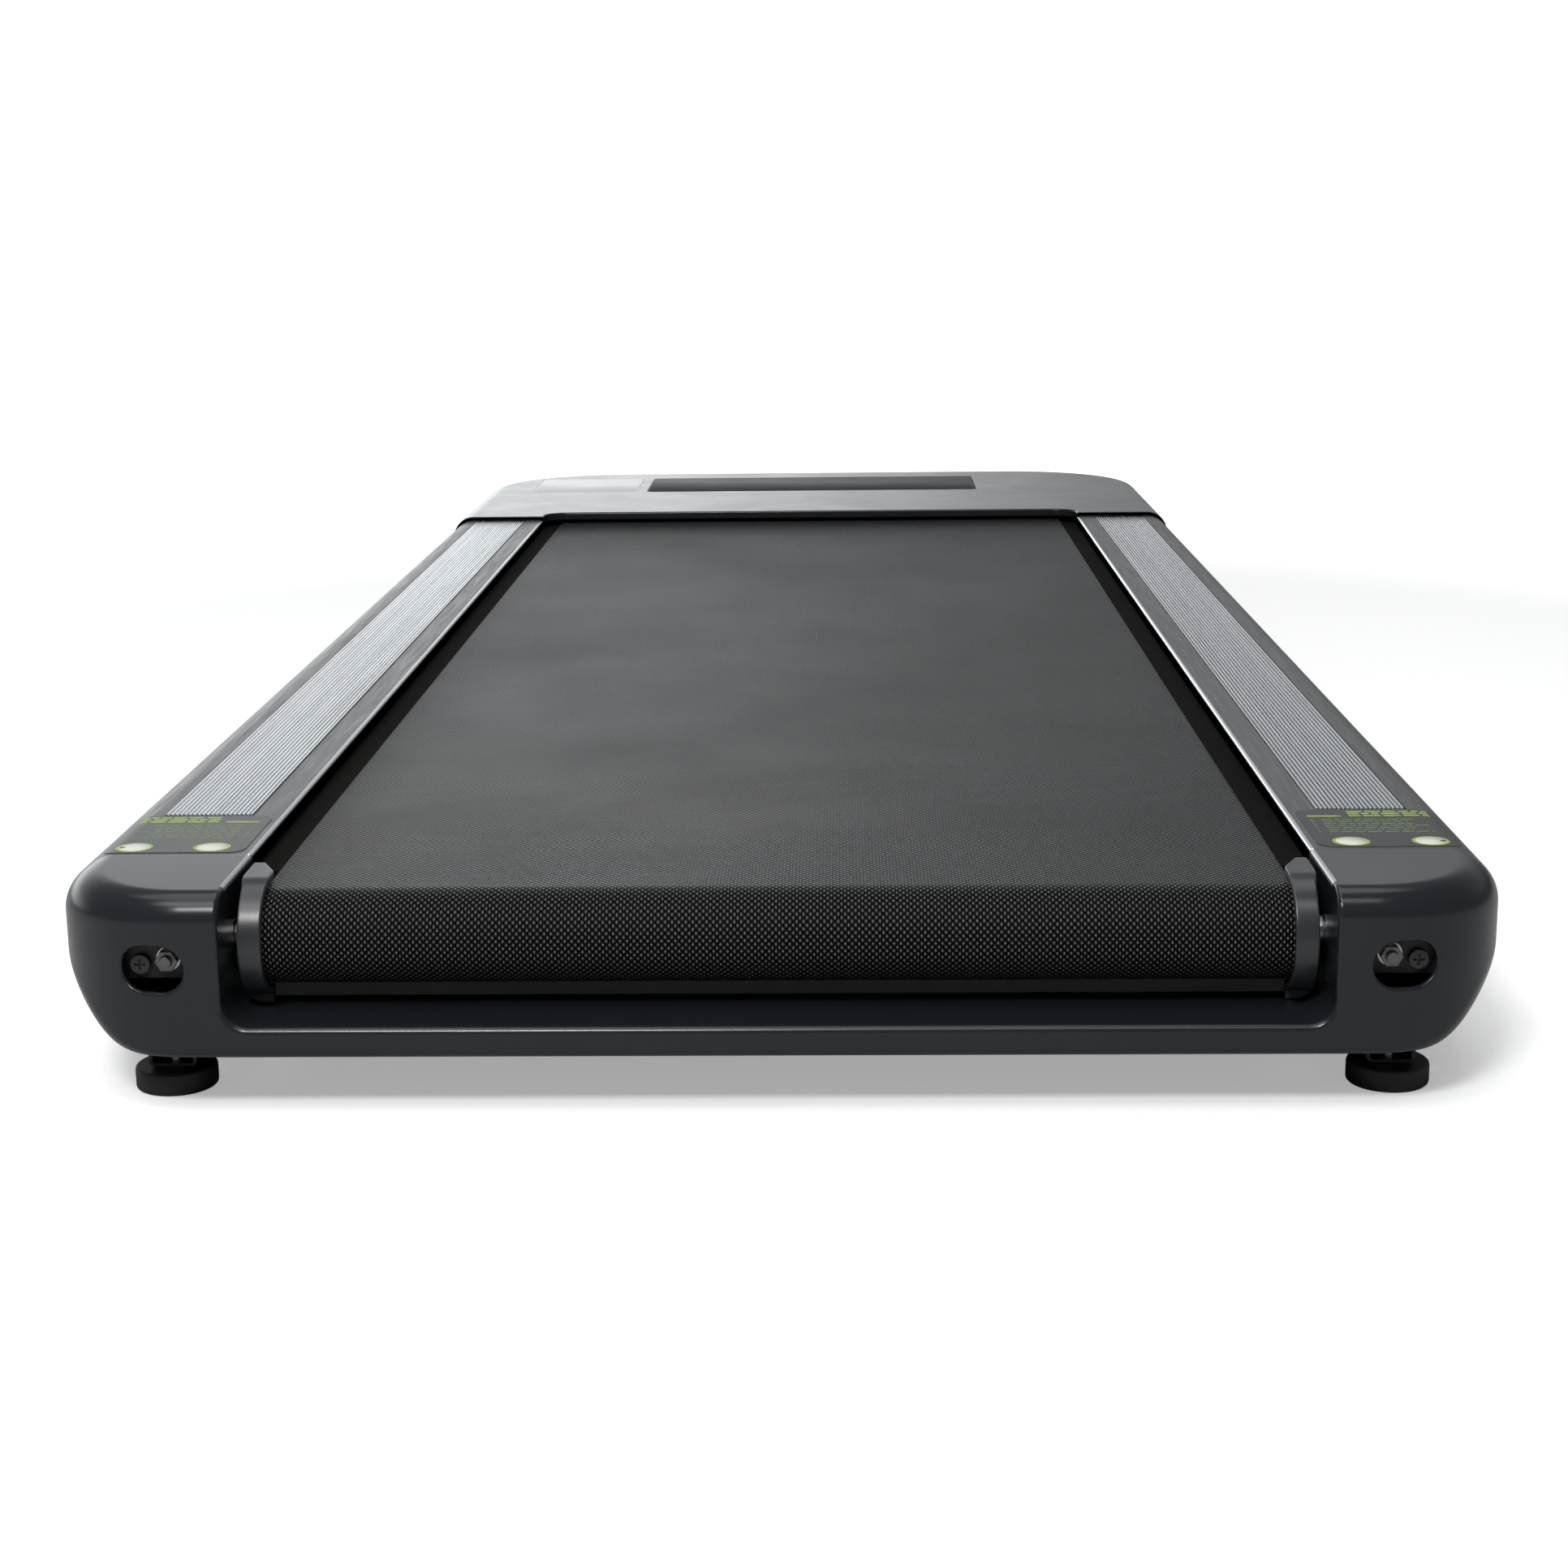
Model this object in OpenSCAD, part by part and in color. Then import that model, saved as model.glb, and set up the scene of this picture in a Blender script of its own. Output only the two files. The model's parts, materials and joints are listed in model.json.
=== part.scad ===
// Slim under-desk treadmill: steel tube frame, deck, two rollers, belt drive under a front hood.
// Millimetres. Origin on the floor at the middle of the footprint; +Y is the motor end, +Z up.

/* [Overall] */
// Overall length along Y
overall_length = 1515; // [1480:5:1600]
// Overall width across the end caps and rails
overall_width = 596; // [590:2:610]
// Height of the flat top of the side rails
deck_height = 92; // [92:1:96]
// Height of the top of the front hood
hood_height = 95; // [95:1:99]

/* [Running surface] */
// Width of the running belt
belt_width = 420; // [400:2:424]
// Thickness of the running belt
belt_thickness = 1.8; // [1.4:0.1:2.2]
// Height of the roller axes
roller_height = 66; // [65:0.5:67]
// Outer radius of the belt where it wraps a roller
belt_wrap_radius = 20; // [19:0.5:20.5]
// Distance from the rear end to the rear roller axis
rear_roller_setback = 37; // [36:0.5:40]
// Distance from the front end to the front roller axis
front_roller_setback = 277.5; // [270:0.5:285]
// Thickness of the deck board
deck_thickness = 15; // [12:1:15]

/* [Casing] */
// Half of the clear width between the rails
inner_half_width = 222.5; // [218:0.5:226]
// Height of the underside of rails and covers
casing_underside = 24; // [22:1:26]
// Length of the rear end caps along Y
cap_length = 68; // [66:1:72]
// Wall thickness of the plastic covers
cover_wall = 3; // [2.5:0.1:3.5]
// Distance from the front end to the hood lip over the belt
hood_lip_setback = 316; // [310:1:320]
// Number of ribs on each tread strip
rib_count = 20; // [12:1:20]

/* [Frame] */
// Width of the two long frame tubes
tube_width = 20; // [18:1:20]
// Height of the two long frame tubes
tube_height = 45; // [40:1:45]
// Height of the rubber feet
foot_height = 9.5; // [8:0.5:10]
// Distance of the tubes from the centre plane
tube_offset = 252.5; // [252:0.5:253]

/* [Drive] */
// Radius of the pulley on the front roller
drive_pulley_radius = 21; // [18:0.5:22]
// Radius of the pulley on the motor
motor_pulley_radius = 10.5; // [9:0.5:12]
// Radius of the motor case
motor_radius = 34; // [28:1:34]
// Radius of the transport wheels
wheel_radius = 24; // [20:1:24]

/* [Hidden] */

$fn = 64;

// Shared clearances
cut = 1;
running_gap = 0.05;
free_gap = 0.3;

// Ends and main levels
half_width = overall_width / 2;
rear_y = -overall_length / 2;
front_y = overall_length / 2;
rear_roller_y = rear_y + rear_roller_setback;
front_roller_y = front_y - front_roller_setback;
seam_y = rear_y + cap_length;
lip_y = front_y - hood_lip_setback;
hood_rear_y = lip_y - 26;
belt_top = roller_height + belt_wrap_radius;
deck_top = belt_top - belt_thickness;
deck_bottom = deck_top - deck_thickness;

// Casing section
top_edge_radius = 17;
bottom_edge_radius = 36;
rear_corner_radius = 60;
front_corner_radius = 120;
bumper_top = 37;
bay_corner = 10;
bumper_depth = 45.5;

// Side rails
rail_wall = 2.6;
shelf_thickness = 2.2;
rail_inner_cut = tube_offset + tube_width / 2 + 2;
strip_inner = 237;
strip_outer = 277;
strip_base = 0.6;
strip_recess = 1;
rib_height = 0.9;
strip_start_y = seam_y + 69.5;
label_inner = 227;
label_outer = 288;
label_film = 0.25;
label_start_y = seam_y + 2.5;

// Frame
tube_wall = 1.5;
tube_corner = 2.5;
tube_bottom = foot_height;
tube_top = tube_bottom + tube_height;
tube_rear_y = rear_y + 33.5;
tube_front_y = front_y - 73;
tube_inner = tube_offset - tube_width / 2;
tube_outer = tube_offset + tube_width / 2;
member_size = 25;
member_bottom = 12;
member_half = tube_inner;
rear_member_y = rear_y + 102.5;
middle_member_spots = [-200, 200];
front_member_y = front_y - 85.5;
tray_thickness = 2.5;
tray_bottom = 14;
tray_rear_y = front_y - 212;
tray_front_y = front_y - 102;
foot_radius = 17;
foot_spots = [rear_y + 39.5, front_y - 117.5];
foot_screw_radius = 2.5;

// Deck fixing
board_half = 262;
board_rear_y = rear_roller_y + 33;
board_front_y = front_roller_y - 28;
cushion_radius = 11;
cushion_bottom = tube_top + shelf_thickness;
deck_screw_radius = 3;
deck_screw_spots = [-620, -270, 80, 400];

// Rear roller and tension gear
roller_radius = belt_wrap_radius - belt_thickness - free_gap;
roller_bore = roller_radius - 3;
roller_half = 213;
bearing_width = 9;
axle_radius = 6;
rear_axle_half = 240;
bolt_x = 245.7;
bolt_z = 63;
bolt_radius = 2.5;
nut_across_flats = 8;
bracket_rear_y = rear_y + 13.5;
bracket_plate = 3;
washer_radius = 5;
washer_thickness = 1;
screw_x = 257;
screw_z = 61;
slot_x = 250;
slot_z = 61.5;
slot_length = 26;
slot_height = 19;
guard_inner_radius = 21.5;
guard_outer_radius = 24.5;
guard_inner = 208.2;
guard_outer = 220;
guard_reach = 23;

// Drive
front_axle_half = 256;
pulley_x = 217;
pulley_width = 14;
motor_y = front_y - 157.5;
motor_z = 52.5;
motor_x = 50;
motor_length = 145;
motor_wall = 3;
shaft_radius = 5;
drive_belt_thickness = 2.2;

// Hood
controls_proud = 3.5;
hood_front_y = front_y - controls_proud;
hood_top_radius = 22;
hood_front_radius = 22;
panel_half = 148;
panel_rear_y = front_y - 169.5;
panel_front_y = front_y - 63.5;
panel_depth = 1.5;
info_x = -252;
info_length = 94;
info_depth = 0.6;
pan_bottom = foot_height;
pan_thickness = member_bottom - pan_bottom;
pan_half = tube_inner - 1;
pan_screw_spots = [-160, 0, 160];
pan_rear_y = front_roller_y + 25;
pan_front_y = tube_front_y;
return_y = tube_front_y + 3;
control_z = 59.5;
inlet_x = -135;
switch_x = -98;
reset_x = -74;
flange_y = hood_front_y + 1.5;
rocker_y = hood_front_y - 3;
rocker_tilt = 7;
pivot_radius = 1.2;

// Transport wheels
wheel_x = 200;
wheel_y = front_y - 41;
wheel_z = 30;
wheel_width = 18;
wheel_bore = 4.06;
wheel_axle_radius = 4;

// Extrudes an outline drawn in (X, Z) from y0 to y1
module along_y(y0, y1) {
    translate([0, y1, 0])
        rotate([90, 0, 0])
            linear_extrude(y1 - y0) children();
}

// Extrudes an outline drawn in (Y, Z) from x0 to x1
module along_x(x0, x1) {
    translate([x0, 0, 0])
        rotate([90, 0, 90])
            linear_extrude(x1 - x0) children();
}

// Box from two opposite corners
module block(low, high) {
    translate(low) cube(high - low);
}

// Cylinder along X from x0 to x1 about the line through (y, z)
module rod_x(x0, x1, y, z, r) {
    translate([x0, y, z]) rotate([0, 90, 0]) cylinder(h = x1 - x0, r = r);
}

// Cylinder along Y from y0 to y1 about the line through (x, z)
module rod_y(y0, y1, x, z, r) {
    translate([x, y1, z]) rotate([90, 0, 0]) cylinder(h = y1 - y0, r = r);
}

// Flat outline between two corners
module span(low, high) {
    translate(low) square(high - low);
}

// Outline with one radius on both lower corners and one on both upper corners
module soft_box(low, high, r_low, r_high) {
    intersection() {
        span(low, high);
        union() {
            span([low.x, low.y + r_low], [high.x, high.y - r_high]);
            span([low.x + r_low, low.y], [high.x - r_low, low.y + r_low + 0.01]);
            span([low.x + r_high, high.y - r_high - 0.01], [high.x - r_high, high.y]);
            for (x = [low.x + r_low, high.x - r_low])
                translate([x, low.y + r_low]) circle(r_low);
            for (x = [low.x + r_high, high.x - r_high])
                translate([x, high.y - r_high]) circle(r_high);
        }
    }
}

// Obround outline centred on the origin
module obround(length, height) {
    reach = (length - height) / 2;
    square([2 * reach, height], center = true);
    for (x = [-reach, reach])
        translate([x, 0]) circle(height / 2);
}

// Cross-section that rails, caps and hood share, shrunk by inset
module casing_section(top, inset) {
    soft_box([-half_width + inset, casing_underside + inset], [half_width - inset, top - inset],
        bottom_edge_radius - inset, top_edge_radius - inset);
}

// Rectangular tube section with round corners, centred on (x, z)
module tube_section(x, z, w, h) {
    translate([x, z]) difference() {
        soft_box([-w / 2, -h / 2], [w / 2, h / 2], tube_corner, tube_corner);
        soft_box([-w / 2 + tube_wall, -h / 2 + tube_wall], [w / 2 - tube_wall, h / 2 - tube_wall],
            tube_corner - tube_wall, tube_corner - tube_wall);
    }
}

// ---- Frame ----

module frame_tube() {
    difference() {
        along_y(tube_rear_y, tube_front_y)
            tube_section(tube_offset, tube_bottom + tube_height / 2, tube_width, tube_height);
        for (y = deck_screw_spots)
            translate([tube_offset, y, tube_top - tube_wall - cut])
                cylinder(h = tube_wall + 2 * cut, r = deck_screw_radius + 0.1);
        for (y = foot_spots)
            translate([tube_offset, y, tube_bottom - cut])
                cylinder(h = tube_wall + 2 * cut, r = foot_screw_radius + 0.1);
    }
}

module frame_tube_right() {
    color("dimgray") frame_tube();
}

module frame_tube_left() {
    color("dimgray") mirror([1, 0, 0]) frame_tube();
}

// Square tube across the frame, centred on y
module cross_member(y) {
    translate([0, y, 0])
        along_x(-member_half, member_half)
            tube_section(0, member_bottom + member_size / 2, member_size, member_size);
}

module rear_cross_member() {
    color("dimgray") cross_member(rear_member_y);
}

module middle_cross_members() {
    color("dimgray")
        for (y = middle_member_spots) cross_member(y);
}

module front_cross_member() {
    color("dimgray") difference() {
        cross_member(front_member_y);
        for (x = pan_screw_spots)
            translate([x, front_member_y, member_bottom - cut])
                cylinder(h = tube_wall + 2 * cut, r = 2.1);
    }
}

module motor_tray() {
    flange_top = 45;
    color("gray") {
        block([-member_half, tray_rear_y, tray_bottom],
            [member_half, tray_front_y, tray_bottom + tray_thickness]);
        for (x = [-member_half, member_half - tray_thickness])
            block([x, tray_rear_y, tray_bottom], [x + tray_thickness, tray_front_y, flange_top]);
    }
}

// ---- Deck ----

module deck_board() {
    head_radius = 6;
    color([0.16, 0.13, 0.11]) difference() {
        block([-board_half, board_rear_y, deck_bottom], [board_half, board_front_y, deck_top]);
        for (x = [-tube_offset, tube_offset], y = deck_screw_spots)
            translate([x, y, 0]) {
                translate([0, 0, deck_bottom - cut])
                    cylinder(h = deck_thickness + 2 * cut, r = deck_screw_radius + 0.1);
                translate([0, 0, deck_top - 3])
                    cylinder(h = 3 + cut, r = head_radius + 0.3);
            }
    }
}

module deck_cushions() {
    color([0.1, 0.1, 0.1])
        for (x = [-tube_offset, tube_offset], y = deck_screw_spots)
            translate([x, y, cushion_bottom]) difference() {
                cylinder(h = deck_bottom - cushion_bottom, r = cushion_radius);
                translate([0, 0, -cut])
                    cylinder(h = deck_thickness + 2 * cut, r = deck_screw_radius + 0.1);
            }
}

module deck_screws() {
    head_radius = 6;
    head_height = 2.8;
    screw_tip = tube_top - 6;
    color("silver")
        for (x = [-tube_offset, tube_offset], y = deck_screw_spots)
            translate([x, y, 0]) {
                translate([0, 0, screw_tip])
                    cylinder(h = deck_top - 3 - screw_tip + 0.5, r = deck_screw_radius);
                difference() {
                    translate([0, 0, deck_top - 3])
                        cylinder(h = head_height, r = head_radius);
                    translate([0, 0, deck_top - 2])
                        cylinder(h = 3, r = 2, $fn = 6);
                }
            }
}

// Closed loop round both roller axes, drawn in (Y, Z)
module belt_loop(r) {
    span([rear_roller_y, roller_height - r], [front_roller_y, roller_height + r]);
    for (y = [rear_roller_y, front_roller_y])
        translate([y, roller_height]) circle(r);
}

module running_belt() {
    color([0.06, 0.06, 0.065])
        along_x(-belt_width / 2, belt_width / 2) difference() {
            belt_loop(belt_wrap_radius);
            belt_loop(belt_wrap_radius - belt_thickness);
        }
}

// ---- Rollers ----

// Steel roller tube about the axis at y, thick enough at its ends to seat the bearings
module roller(y) {
    difference() {
        rod_x(-roller_half, roller_half, y, roller_height, roller_radius);
        rod_x(-roller_half - cut, roller_half + cut, y, roller_height, roller_bore);
    }
}

// Two ball bearings, just inside the roller's ends
module roller_bearings(y) {
    for (side = [-1, 1])
        translate([side * (roller_half - 2 - bearing_width / 2), y, roller_height])
            rotate([0, 90, 0])
                rotate_extrude() difference() {
                    span([axle_radius + running_gap, -bearing_width / 2],
                        [roller_bore, bearing_width / 2]);
                    for (z = [-bearing_width / 2, bearing_width / 2])
                        translate([(axle_radius + roller_bore) / 2, z])
                            square([5, 1.6], center = true);
                }
}

module rear_roller() {
    color("silver") roller(rear_roller_y);
}

module rear_roller_bearings() {
    color("lightgray") roller_bearings(rear_roller_y);
}

module rear_roller_axle() {
    color("silver")
        rod_x(-rear_axle_half, rear_axle_half, rear_roller_y, roller_height, axle_radius);
}

module front_roller() {
    color("silver") roller(front_roller_y);
}

module front_roller_bearings() {
    color("lightgray") roller_bearings(front_roller_y);
}

module front_roller_axle() {
    color("silver")
        rod_x(-front_axle_half, front_axle_half, front_roller_y, roller_height, axle_radius);
}

module front_axle_mounts() {
    top = 79;
    half_length = 14;
    color("gray")
        for (side = [-1, 1])
            difference() {
                block([side * tube_offset - 9, front_roller_y - half_length, tube_top],
                    [side * tube_offset + 9, front_roller_y + half_length, top]);
                rod_x(-front_axle_half - running_gap, front_axle_half + running_gap,
                    front_roller_y, roller_height, axle_radius + running_gap);
            }
}

// ---- Tension gear ----

module axle_block() {
    low = [228, rear_roller_y - 13, tube_top + 3.3];
    high = [254, rear_roller_y + 15, 77];
    color("silver") difference() {
        block(low, high);
        rod_x(low.x - cut, rear_axle_half + running_gap, rear_roller_y, roller_height,
            axle_radius + running_gap);
        rod_y(low.y - cut, high.y + cut, bolt_x, bolt_z, bolt_radius + running_gap);
    }
}

module axle_block_right() {
    axle_block();
}

module axle_block_left() {
    mirror([1, 0, 0]) axle_block();
}

// Angle bracket welded to the rear end of a frame tube
module tension_bracket() {
    top = 77;
    foot_end = rear_roller_y + 18;
    color("silver") difference() {
        union() {
            block([238, bracket_rear_y, tube_top],
                [tube_outer + 2, bracket_rear_y + bracket_plate, top]);
            block([tube_inner + 1, bracket_rear_y, tube_top],
                [tube_outer - 1, foot_end, tube_top + bracket_plate]);
        }
        rod_y(bracket_rear_y - cut, bracket_rear_y + bracket_plate + cut, bolt_x, bolt_z,
            bolt_radius + 0.1);
        rod_y(bracket_rear_y - cut, bracket_rear_y + bracket_plate + cut, screw_x, screw_z,
            2.1);
    }
}

module tension_bracket_right() {
    tension_bracket();
}

module tension_bracket_left() {
    mirror([1, 0, 0]) tension_bracket();
}

// Threaded rod with a fixed hexagon near its rear tip
module tension_bolt() {
    tip_y = bracket_rear_y - 8;
    hex_height = 4.5;
    color("silver") {
        rod_y(tip_y, rear_roller_y + 11, bolt_x, bolt_z, bolt_radius);
        translate([bolt_x, bracket_rear_y - washer_thickness - 0.1, bolt_z]) rotate([90, 0, 0])
            cylinder(h = hex_height, r = nut_across_flats / 2 / cos(30), $fn = 6);
    }
}

module tension_bolt_right() {
    tension_bolt();
}

module tension_bolt_left() {
    mirror([1, 0, 0]) tension_bolt();
}

module tension_washers() {
    color("gainsboro")
        for (side = [-1, 1])
            difference() {
                rod_y(bracket_rear_y - washer_thickness, bracket_rear_y, side * bolt_x, bolt_z,
                    washer_radius);
                rod_y(bracket_rear_y - 2 * washer_thickness, bracket_rear_y + cut,
                    side * bolt_x, bolt_z, bolt_radius + 0.1);
            }
}

module bracket_screws() {
    color([0.2, 0.2, 0.22])
        for (side = [-1, 1]) {
            rod_y(bracket_rear_y - 0.5, bracket_rear_y + 9, side * screw_x, screw_z, 2);
            difference() {
                rod_y(bracket_rear_y - 2.8, bracket_rear_y, side * screw_x, screw_z, 4);
                translate([side * screw_x, bracket_rear_y - 2.8, screw_z]) {
                    cube([4.4, 2.4, 1], center = true);
                    cube([1, 2.4, 4.4], center = true);
                }
            }
        }
}

// ---- Rear cover ----

// Solid that fills the rear end's outer form, shrunk by inset, running on to y1
module rear_form(inset, y1) {
    rear_top_radius = 12 - inset;
    rear_bottom_radius = 4 - inset;
    low_y = rear_y + inset;
    intersection() {
        along_y(low_y, y1) casing_section(deck_height, inset);
        translate([0, 0, casing_underside - cut])
            linear_extrude(deck_height)
                soft_box([-half_width + inset, low_y], [half_width - inset, y1 + 50],
                    rear_corner_radius - inset, 10);
        along_x(-half_width, half_width) {
            span([low_y + rear_top_radius, casing_underside], [y1, deck_height - inset]);
            span([low_y, casing_underside + inset + rear_bottom_radius],
                [y1, deck_height - inset - rear_top_radius]);
            translate([low_y + rear_top_radius, deck_height - inset - rear_top_radius])
                circle(rear_top_radius);
            translate([low_y + rear_bottom_radius,
                casing_underside + inset + rear_bottom_radius])
                circle(rear_bottom_radius);
        }
    }
}

// Space between the two end caps, above the bumper, grown by extra
module roller_bay(extra) {
    corner = bay_corner + extra;
    along_y(rear_y - cut, seam_y + 2 * cut)
        soft_box([-inner_half_width - extra, bumper_top - extra],
            [inner_half_width + extra, deck_height + 30], corner, 5);
}

module rear_cover() {
    color([0.2, 0.22, 0.25]) difference() {
        rear_form(0, seam_y);
        roller_bay(0);
        difference() {
            rear_form(cover_wall, seam_y + cut);
            roller_bay(cover_wall);
        }
        block([-inner_half_width, rear_y + bumper_depth, 0],
            [inner_half_width, seam_y + cut, bumper_top + 20]);
        for (side = [-1, 1]) {
            block([side * tube_offset - 12, tube_rear_y - 3, 0],
                [side * tube_offset + 12, seam_y + cut, casing_underside + 16]);
            translate([side * slot_x, 0, slot_z])
                along_y(rear_y - cut, rear_y + cover_wall + 6) obround(slot_length, slot_height);
            // open-ended slots that let the inner walls pass over the axle
            block([side * inner_half_width - 4, rear_roller_y - 8, roller_height - 7.5],
                [side * inner_half_width + 4, seam_y + cut, roller_height + 7.5]);
        }
    }
}

// ---- Roller guards ----

module roller_guard() {
    thickness = guard_outer_radius - guard_inner_radius;
    tip_y = rear_roller_y + guard_reach;
    tip_width = 5;
    flare = 2;
    color([0.15, 0.16, 0.18]) intersection() {
        along_x(guard_inner, guard_outer) {
            translate([rear_roller_y, roller_height]) difference() {
                circle(guard_outer_radius);
                circle(guard_inner_radius);
                span([0, -30], [30, 30]);
            }
            span([rear_roller_y, roller_height + guard_inner_radius],
                [tip_y, roller_height + guard_inner_radius + thickness]);
            span([rear_roller_y - 4, bumper_top],
                [rear_roller_y, roller_height - guard_inner_radius]);
        }
        // stays clear of the bay's round lower corner
        along_y(rear_y, seam_y)
            soft_box([-inner_half_width, bumper_top], [inner_half_width, deck_height + 30],
                bay_corner + 0.5, 5);
        // outline from above, flared towards a tip that has its inner corner cut off
        linear_extrude(deck_height)
            polygon([[guard_inner, rear_y], [guard_outer - flare, rear_y],
                [guard_outer - flare, rear_roller_y - 14], [guard_outer, rear_roller_y + 5],
                [guard_outer, tip_y], [guard_outer - tip_width, tip_y],
                [guard_inner, rear_roller_y + 8.5]]);
    }
}

module roller_guard_right() {
    roller_guard();
}

module roller_guard_left() {
    mirror([1, 0, 0]) roller_guard();
}

// ---- Side rails ----

// Open extrusion: skin, inner lip and the shelf that lies on the frame tube
module rail_section() {
    lip_bottom = deck_top + 0.8;
    difference() {
        intersection() {
            casing_section(deck_height, 0);
            span([inner_half_width, 0], [half_width, deck_height]);
        }
        intersection() {
            casing_section(deck_height, rail_wall);
            span([inner_half_width + rail_wall, 0], [half_width, deck_height]);
        }
        span([inner_half_width - cut, 0], [rail_inner_cut, tube_top]);
        span([inner_half_width - cut, 0], [inner_half_width + rail_wall + cut, lip_bottom]);
    }
    span([tube_inner + 0.5, tube_top], [half_width - 1.5, tube_top + shelf_thickness]);
}

module side_rail() {
    color([0.3, 0.31, 0.33]) difference() {
        along_y(seam_y, hood_rear_y) rail_section();
        block([strip_inner - 0.1, strip_start_y - 0.1, deck_height - strip_recess],
            [strip_outer + 0.1, hood_rear_y + cut, deck_height + cut]);
        for (y = deck_screw_spots)
            translate([tube_offset, y, tube_top - cut])
                cylinder(h = shelf_thickness + 2 * cut, r = deck_screw_radius + 0.1);
    }
}

module side_rail_right() {
    side_rail();
}

module side_rail_left() {
    mirror([1, 0, 0]) side_rail();
}

// Ribbed strip let into the top of a rail
module tread_strip() {
    base = deck_height - strip_recess;
    pitch = (strip_outer - strip_inner) / rib_count;
    rib_foot = pitch * 0.36;
    rib_tip = pitch * 0.2;
    color([0.75, 0.76, 0.77]) along_y(strip_start_y, hood_rear_y) {
        span([strip_inner, base], [strip_outer, base + strip_base]);
        for (i = [0 : rib_count - 1]) {
            x = strip_inner + (i + 0.5) * pitch;
            polygon([[x - rib_foot, base + strip_base - 0.1],
                [x + rib_foot, base + strip_base - 0.1],
                [x + rib_tip, base + strip_base + rib_height],
                [x - rib_tip, base + strip_base + rib_height]]);
        }
    }
}

module tread_strip_right() {
    tread_strip();
}

module tread_strip_left() {
    mirror([1, 0, 0]) tread_strip();
}

// Thin film that follows the rail's top
module rail_label() {
    color([0.2, 0.21, 0.22]) along_y(label_start_y, strip_start_y - 1.5) intersection() {
        difference() {
            casing_section(deck_height, -label_film);
            casing_section(deck_height, 0);
        }
        span([label_inner, deck_height - 15], [label_outer, deck_height + 5]);
    }
}

module rail_label_right() {
    rail_label();
}

module rail_label_left() {
    mirror([1, 0, 0]) rail_label();
}

// ---- Drive ----

// Grooved pulley about the X axis with its hub reaching back by hub mm
module grooved_pulley(r, width, bore, hub, hub_radius) {
    grooves = 5;
    pitch = (width - 4) / grooves;
    rotate([0, 90, 0]) rotate_extrude() difference() {
        union() {
            span([bore, 0], [r, width]);
            span([bore, -hub], [hub_radius, 0.1]);
        }
        for (i = [0 : grooves - 1])
            translate([r, 2 + (i + 0.5) * pitch])
                polygon([[0.1, -pitch * 0.4], [0.1, pitch * 0.4], [-1.4, 0]]);
    }
}

module drive_pulley() {
    hub = pulley_x - roller_half;
    color("gray") translate([pulley_x, front_roller_y, roller_height])
        grooved_pulley(drive_pulley_radius, pulley_width, axle_radius + 0.5, hub, 17);
}

module motor_pulley() {
    color("gray") translate([pulley_x, motor_y, motor_z])
        grooved_pulley(motor_pulley_radius, pulley_width, shaft_radius, 6, 8);
}

// Points along an arc about (x, 0) from angle a0 to a1
function arc_points(x, r, a0, a1, steps) =
    [for (i = [0 : steps]) let (a = a0 + (a1 - a0) * i / steps) [x + r * cos(a), r * sin(a)]];

// Loop round both pulleys, r mm clear of each, drawn in (Y, Z)
module pulley_loop(r) {
    dy = motor_y - front_roller_y;
    dz = motor_z - roller_height;
    span_length = sqrt(dy * dy + dz * dz);
    big = drive_pulley_radius + r;
    small = motor_pulley_radius + r;
    wrap = acos((big - small) / span_length);
    translate([front_roller_y, roller_height]) rotate(atan2(dz, dy))
        polygon(concat(arc_points(0, big, wrap, 360 - wrap, 32),
            arc_points(span_length, small, -wrap, wrap, 24)));
}

module drive_belt() {
    color([0.08, 0.08, 0.08])
        along_x(pulley_x + 1, pulley_x + pulley_width - 1) difference() {
            pulley_loop(free_gap + drive_belt_thickness);
            pulley_loop(free_gap);
        }
}

// Places its children at the motor's left end, with Z along the motor's axis
module at_motor() {
    translate([motor_x, motor_y, motor_z]) rotate([0, 90, 0]) children();
}

module motor_case() {
    color([0.25, 0.25, 0.27]) at_motor() rotate_extrude() difference() {
        span([shaft_radius + running_gap, 0], [motor_radius, motor_length]);
        span([0, motor_wall], [motor_radius - motor_wall, motor_length - motor_wall]);
    }
}

module motor_magnets() {
    outer = motor_radius - motor_wall;
    color([0.2, 0.2, 0.2]) at_motor() translate([0, 0, 25]) difference() {
        cylinder(h = 90, r = outer);
        translate([0, 0, -cut]) cylinder(h = 92, r = outer - 5);
        translate([-8, -40, -cut]) cube([16, 80, 92]);
    }
}

module motor_rotor() {
    color([0.55, 0.35, 0.2]) at_motor() rotate_extrude() {
        span([shaft_radius, 30], [24, 108]);
        span([shaft_radius, 112], [12, 128]);
    }
}

module motor_shaft() {
    color("silver") rod_x(motor_x - 22, pulley_x + pulley_width + 2, motor_y, motor_z,
        shaft_radius);
}

module motor_fan() {
    hub_x = motor_x - 20;
    color([0.12, 0.12, 0.13]) difference() {
        union() {
            rod_x(hub_x, hub_x + 3, motor_y, motor_z, 30);
            rod_x(hub_x, hub_x + 16, motor_y, motor_z, 10);
            for (a = [0 : 45 : 315])
                translate([hub_x, motor_y, motor_z]) rotate([a, 0, 0])
                    translate([2, 9, -1]) cube([14, 19, 2]);
        }
        rod_x(hub_x - cut, hub_x + 20, motor_y, motor_z, shaft_radius);
    }
}

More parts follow.
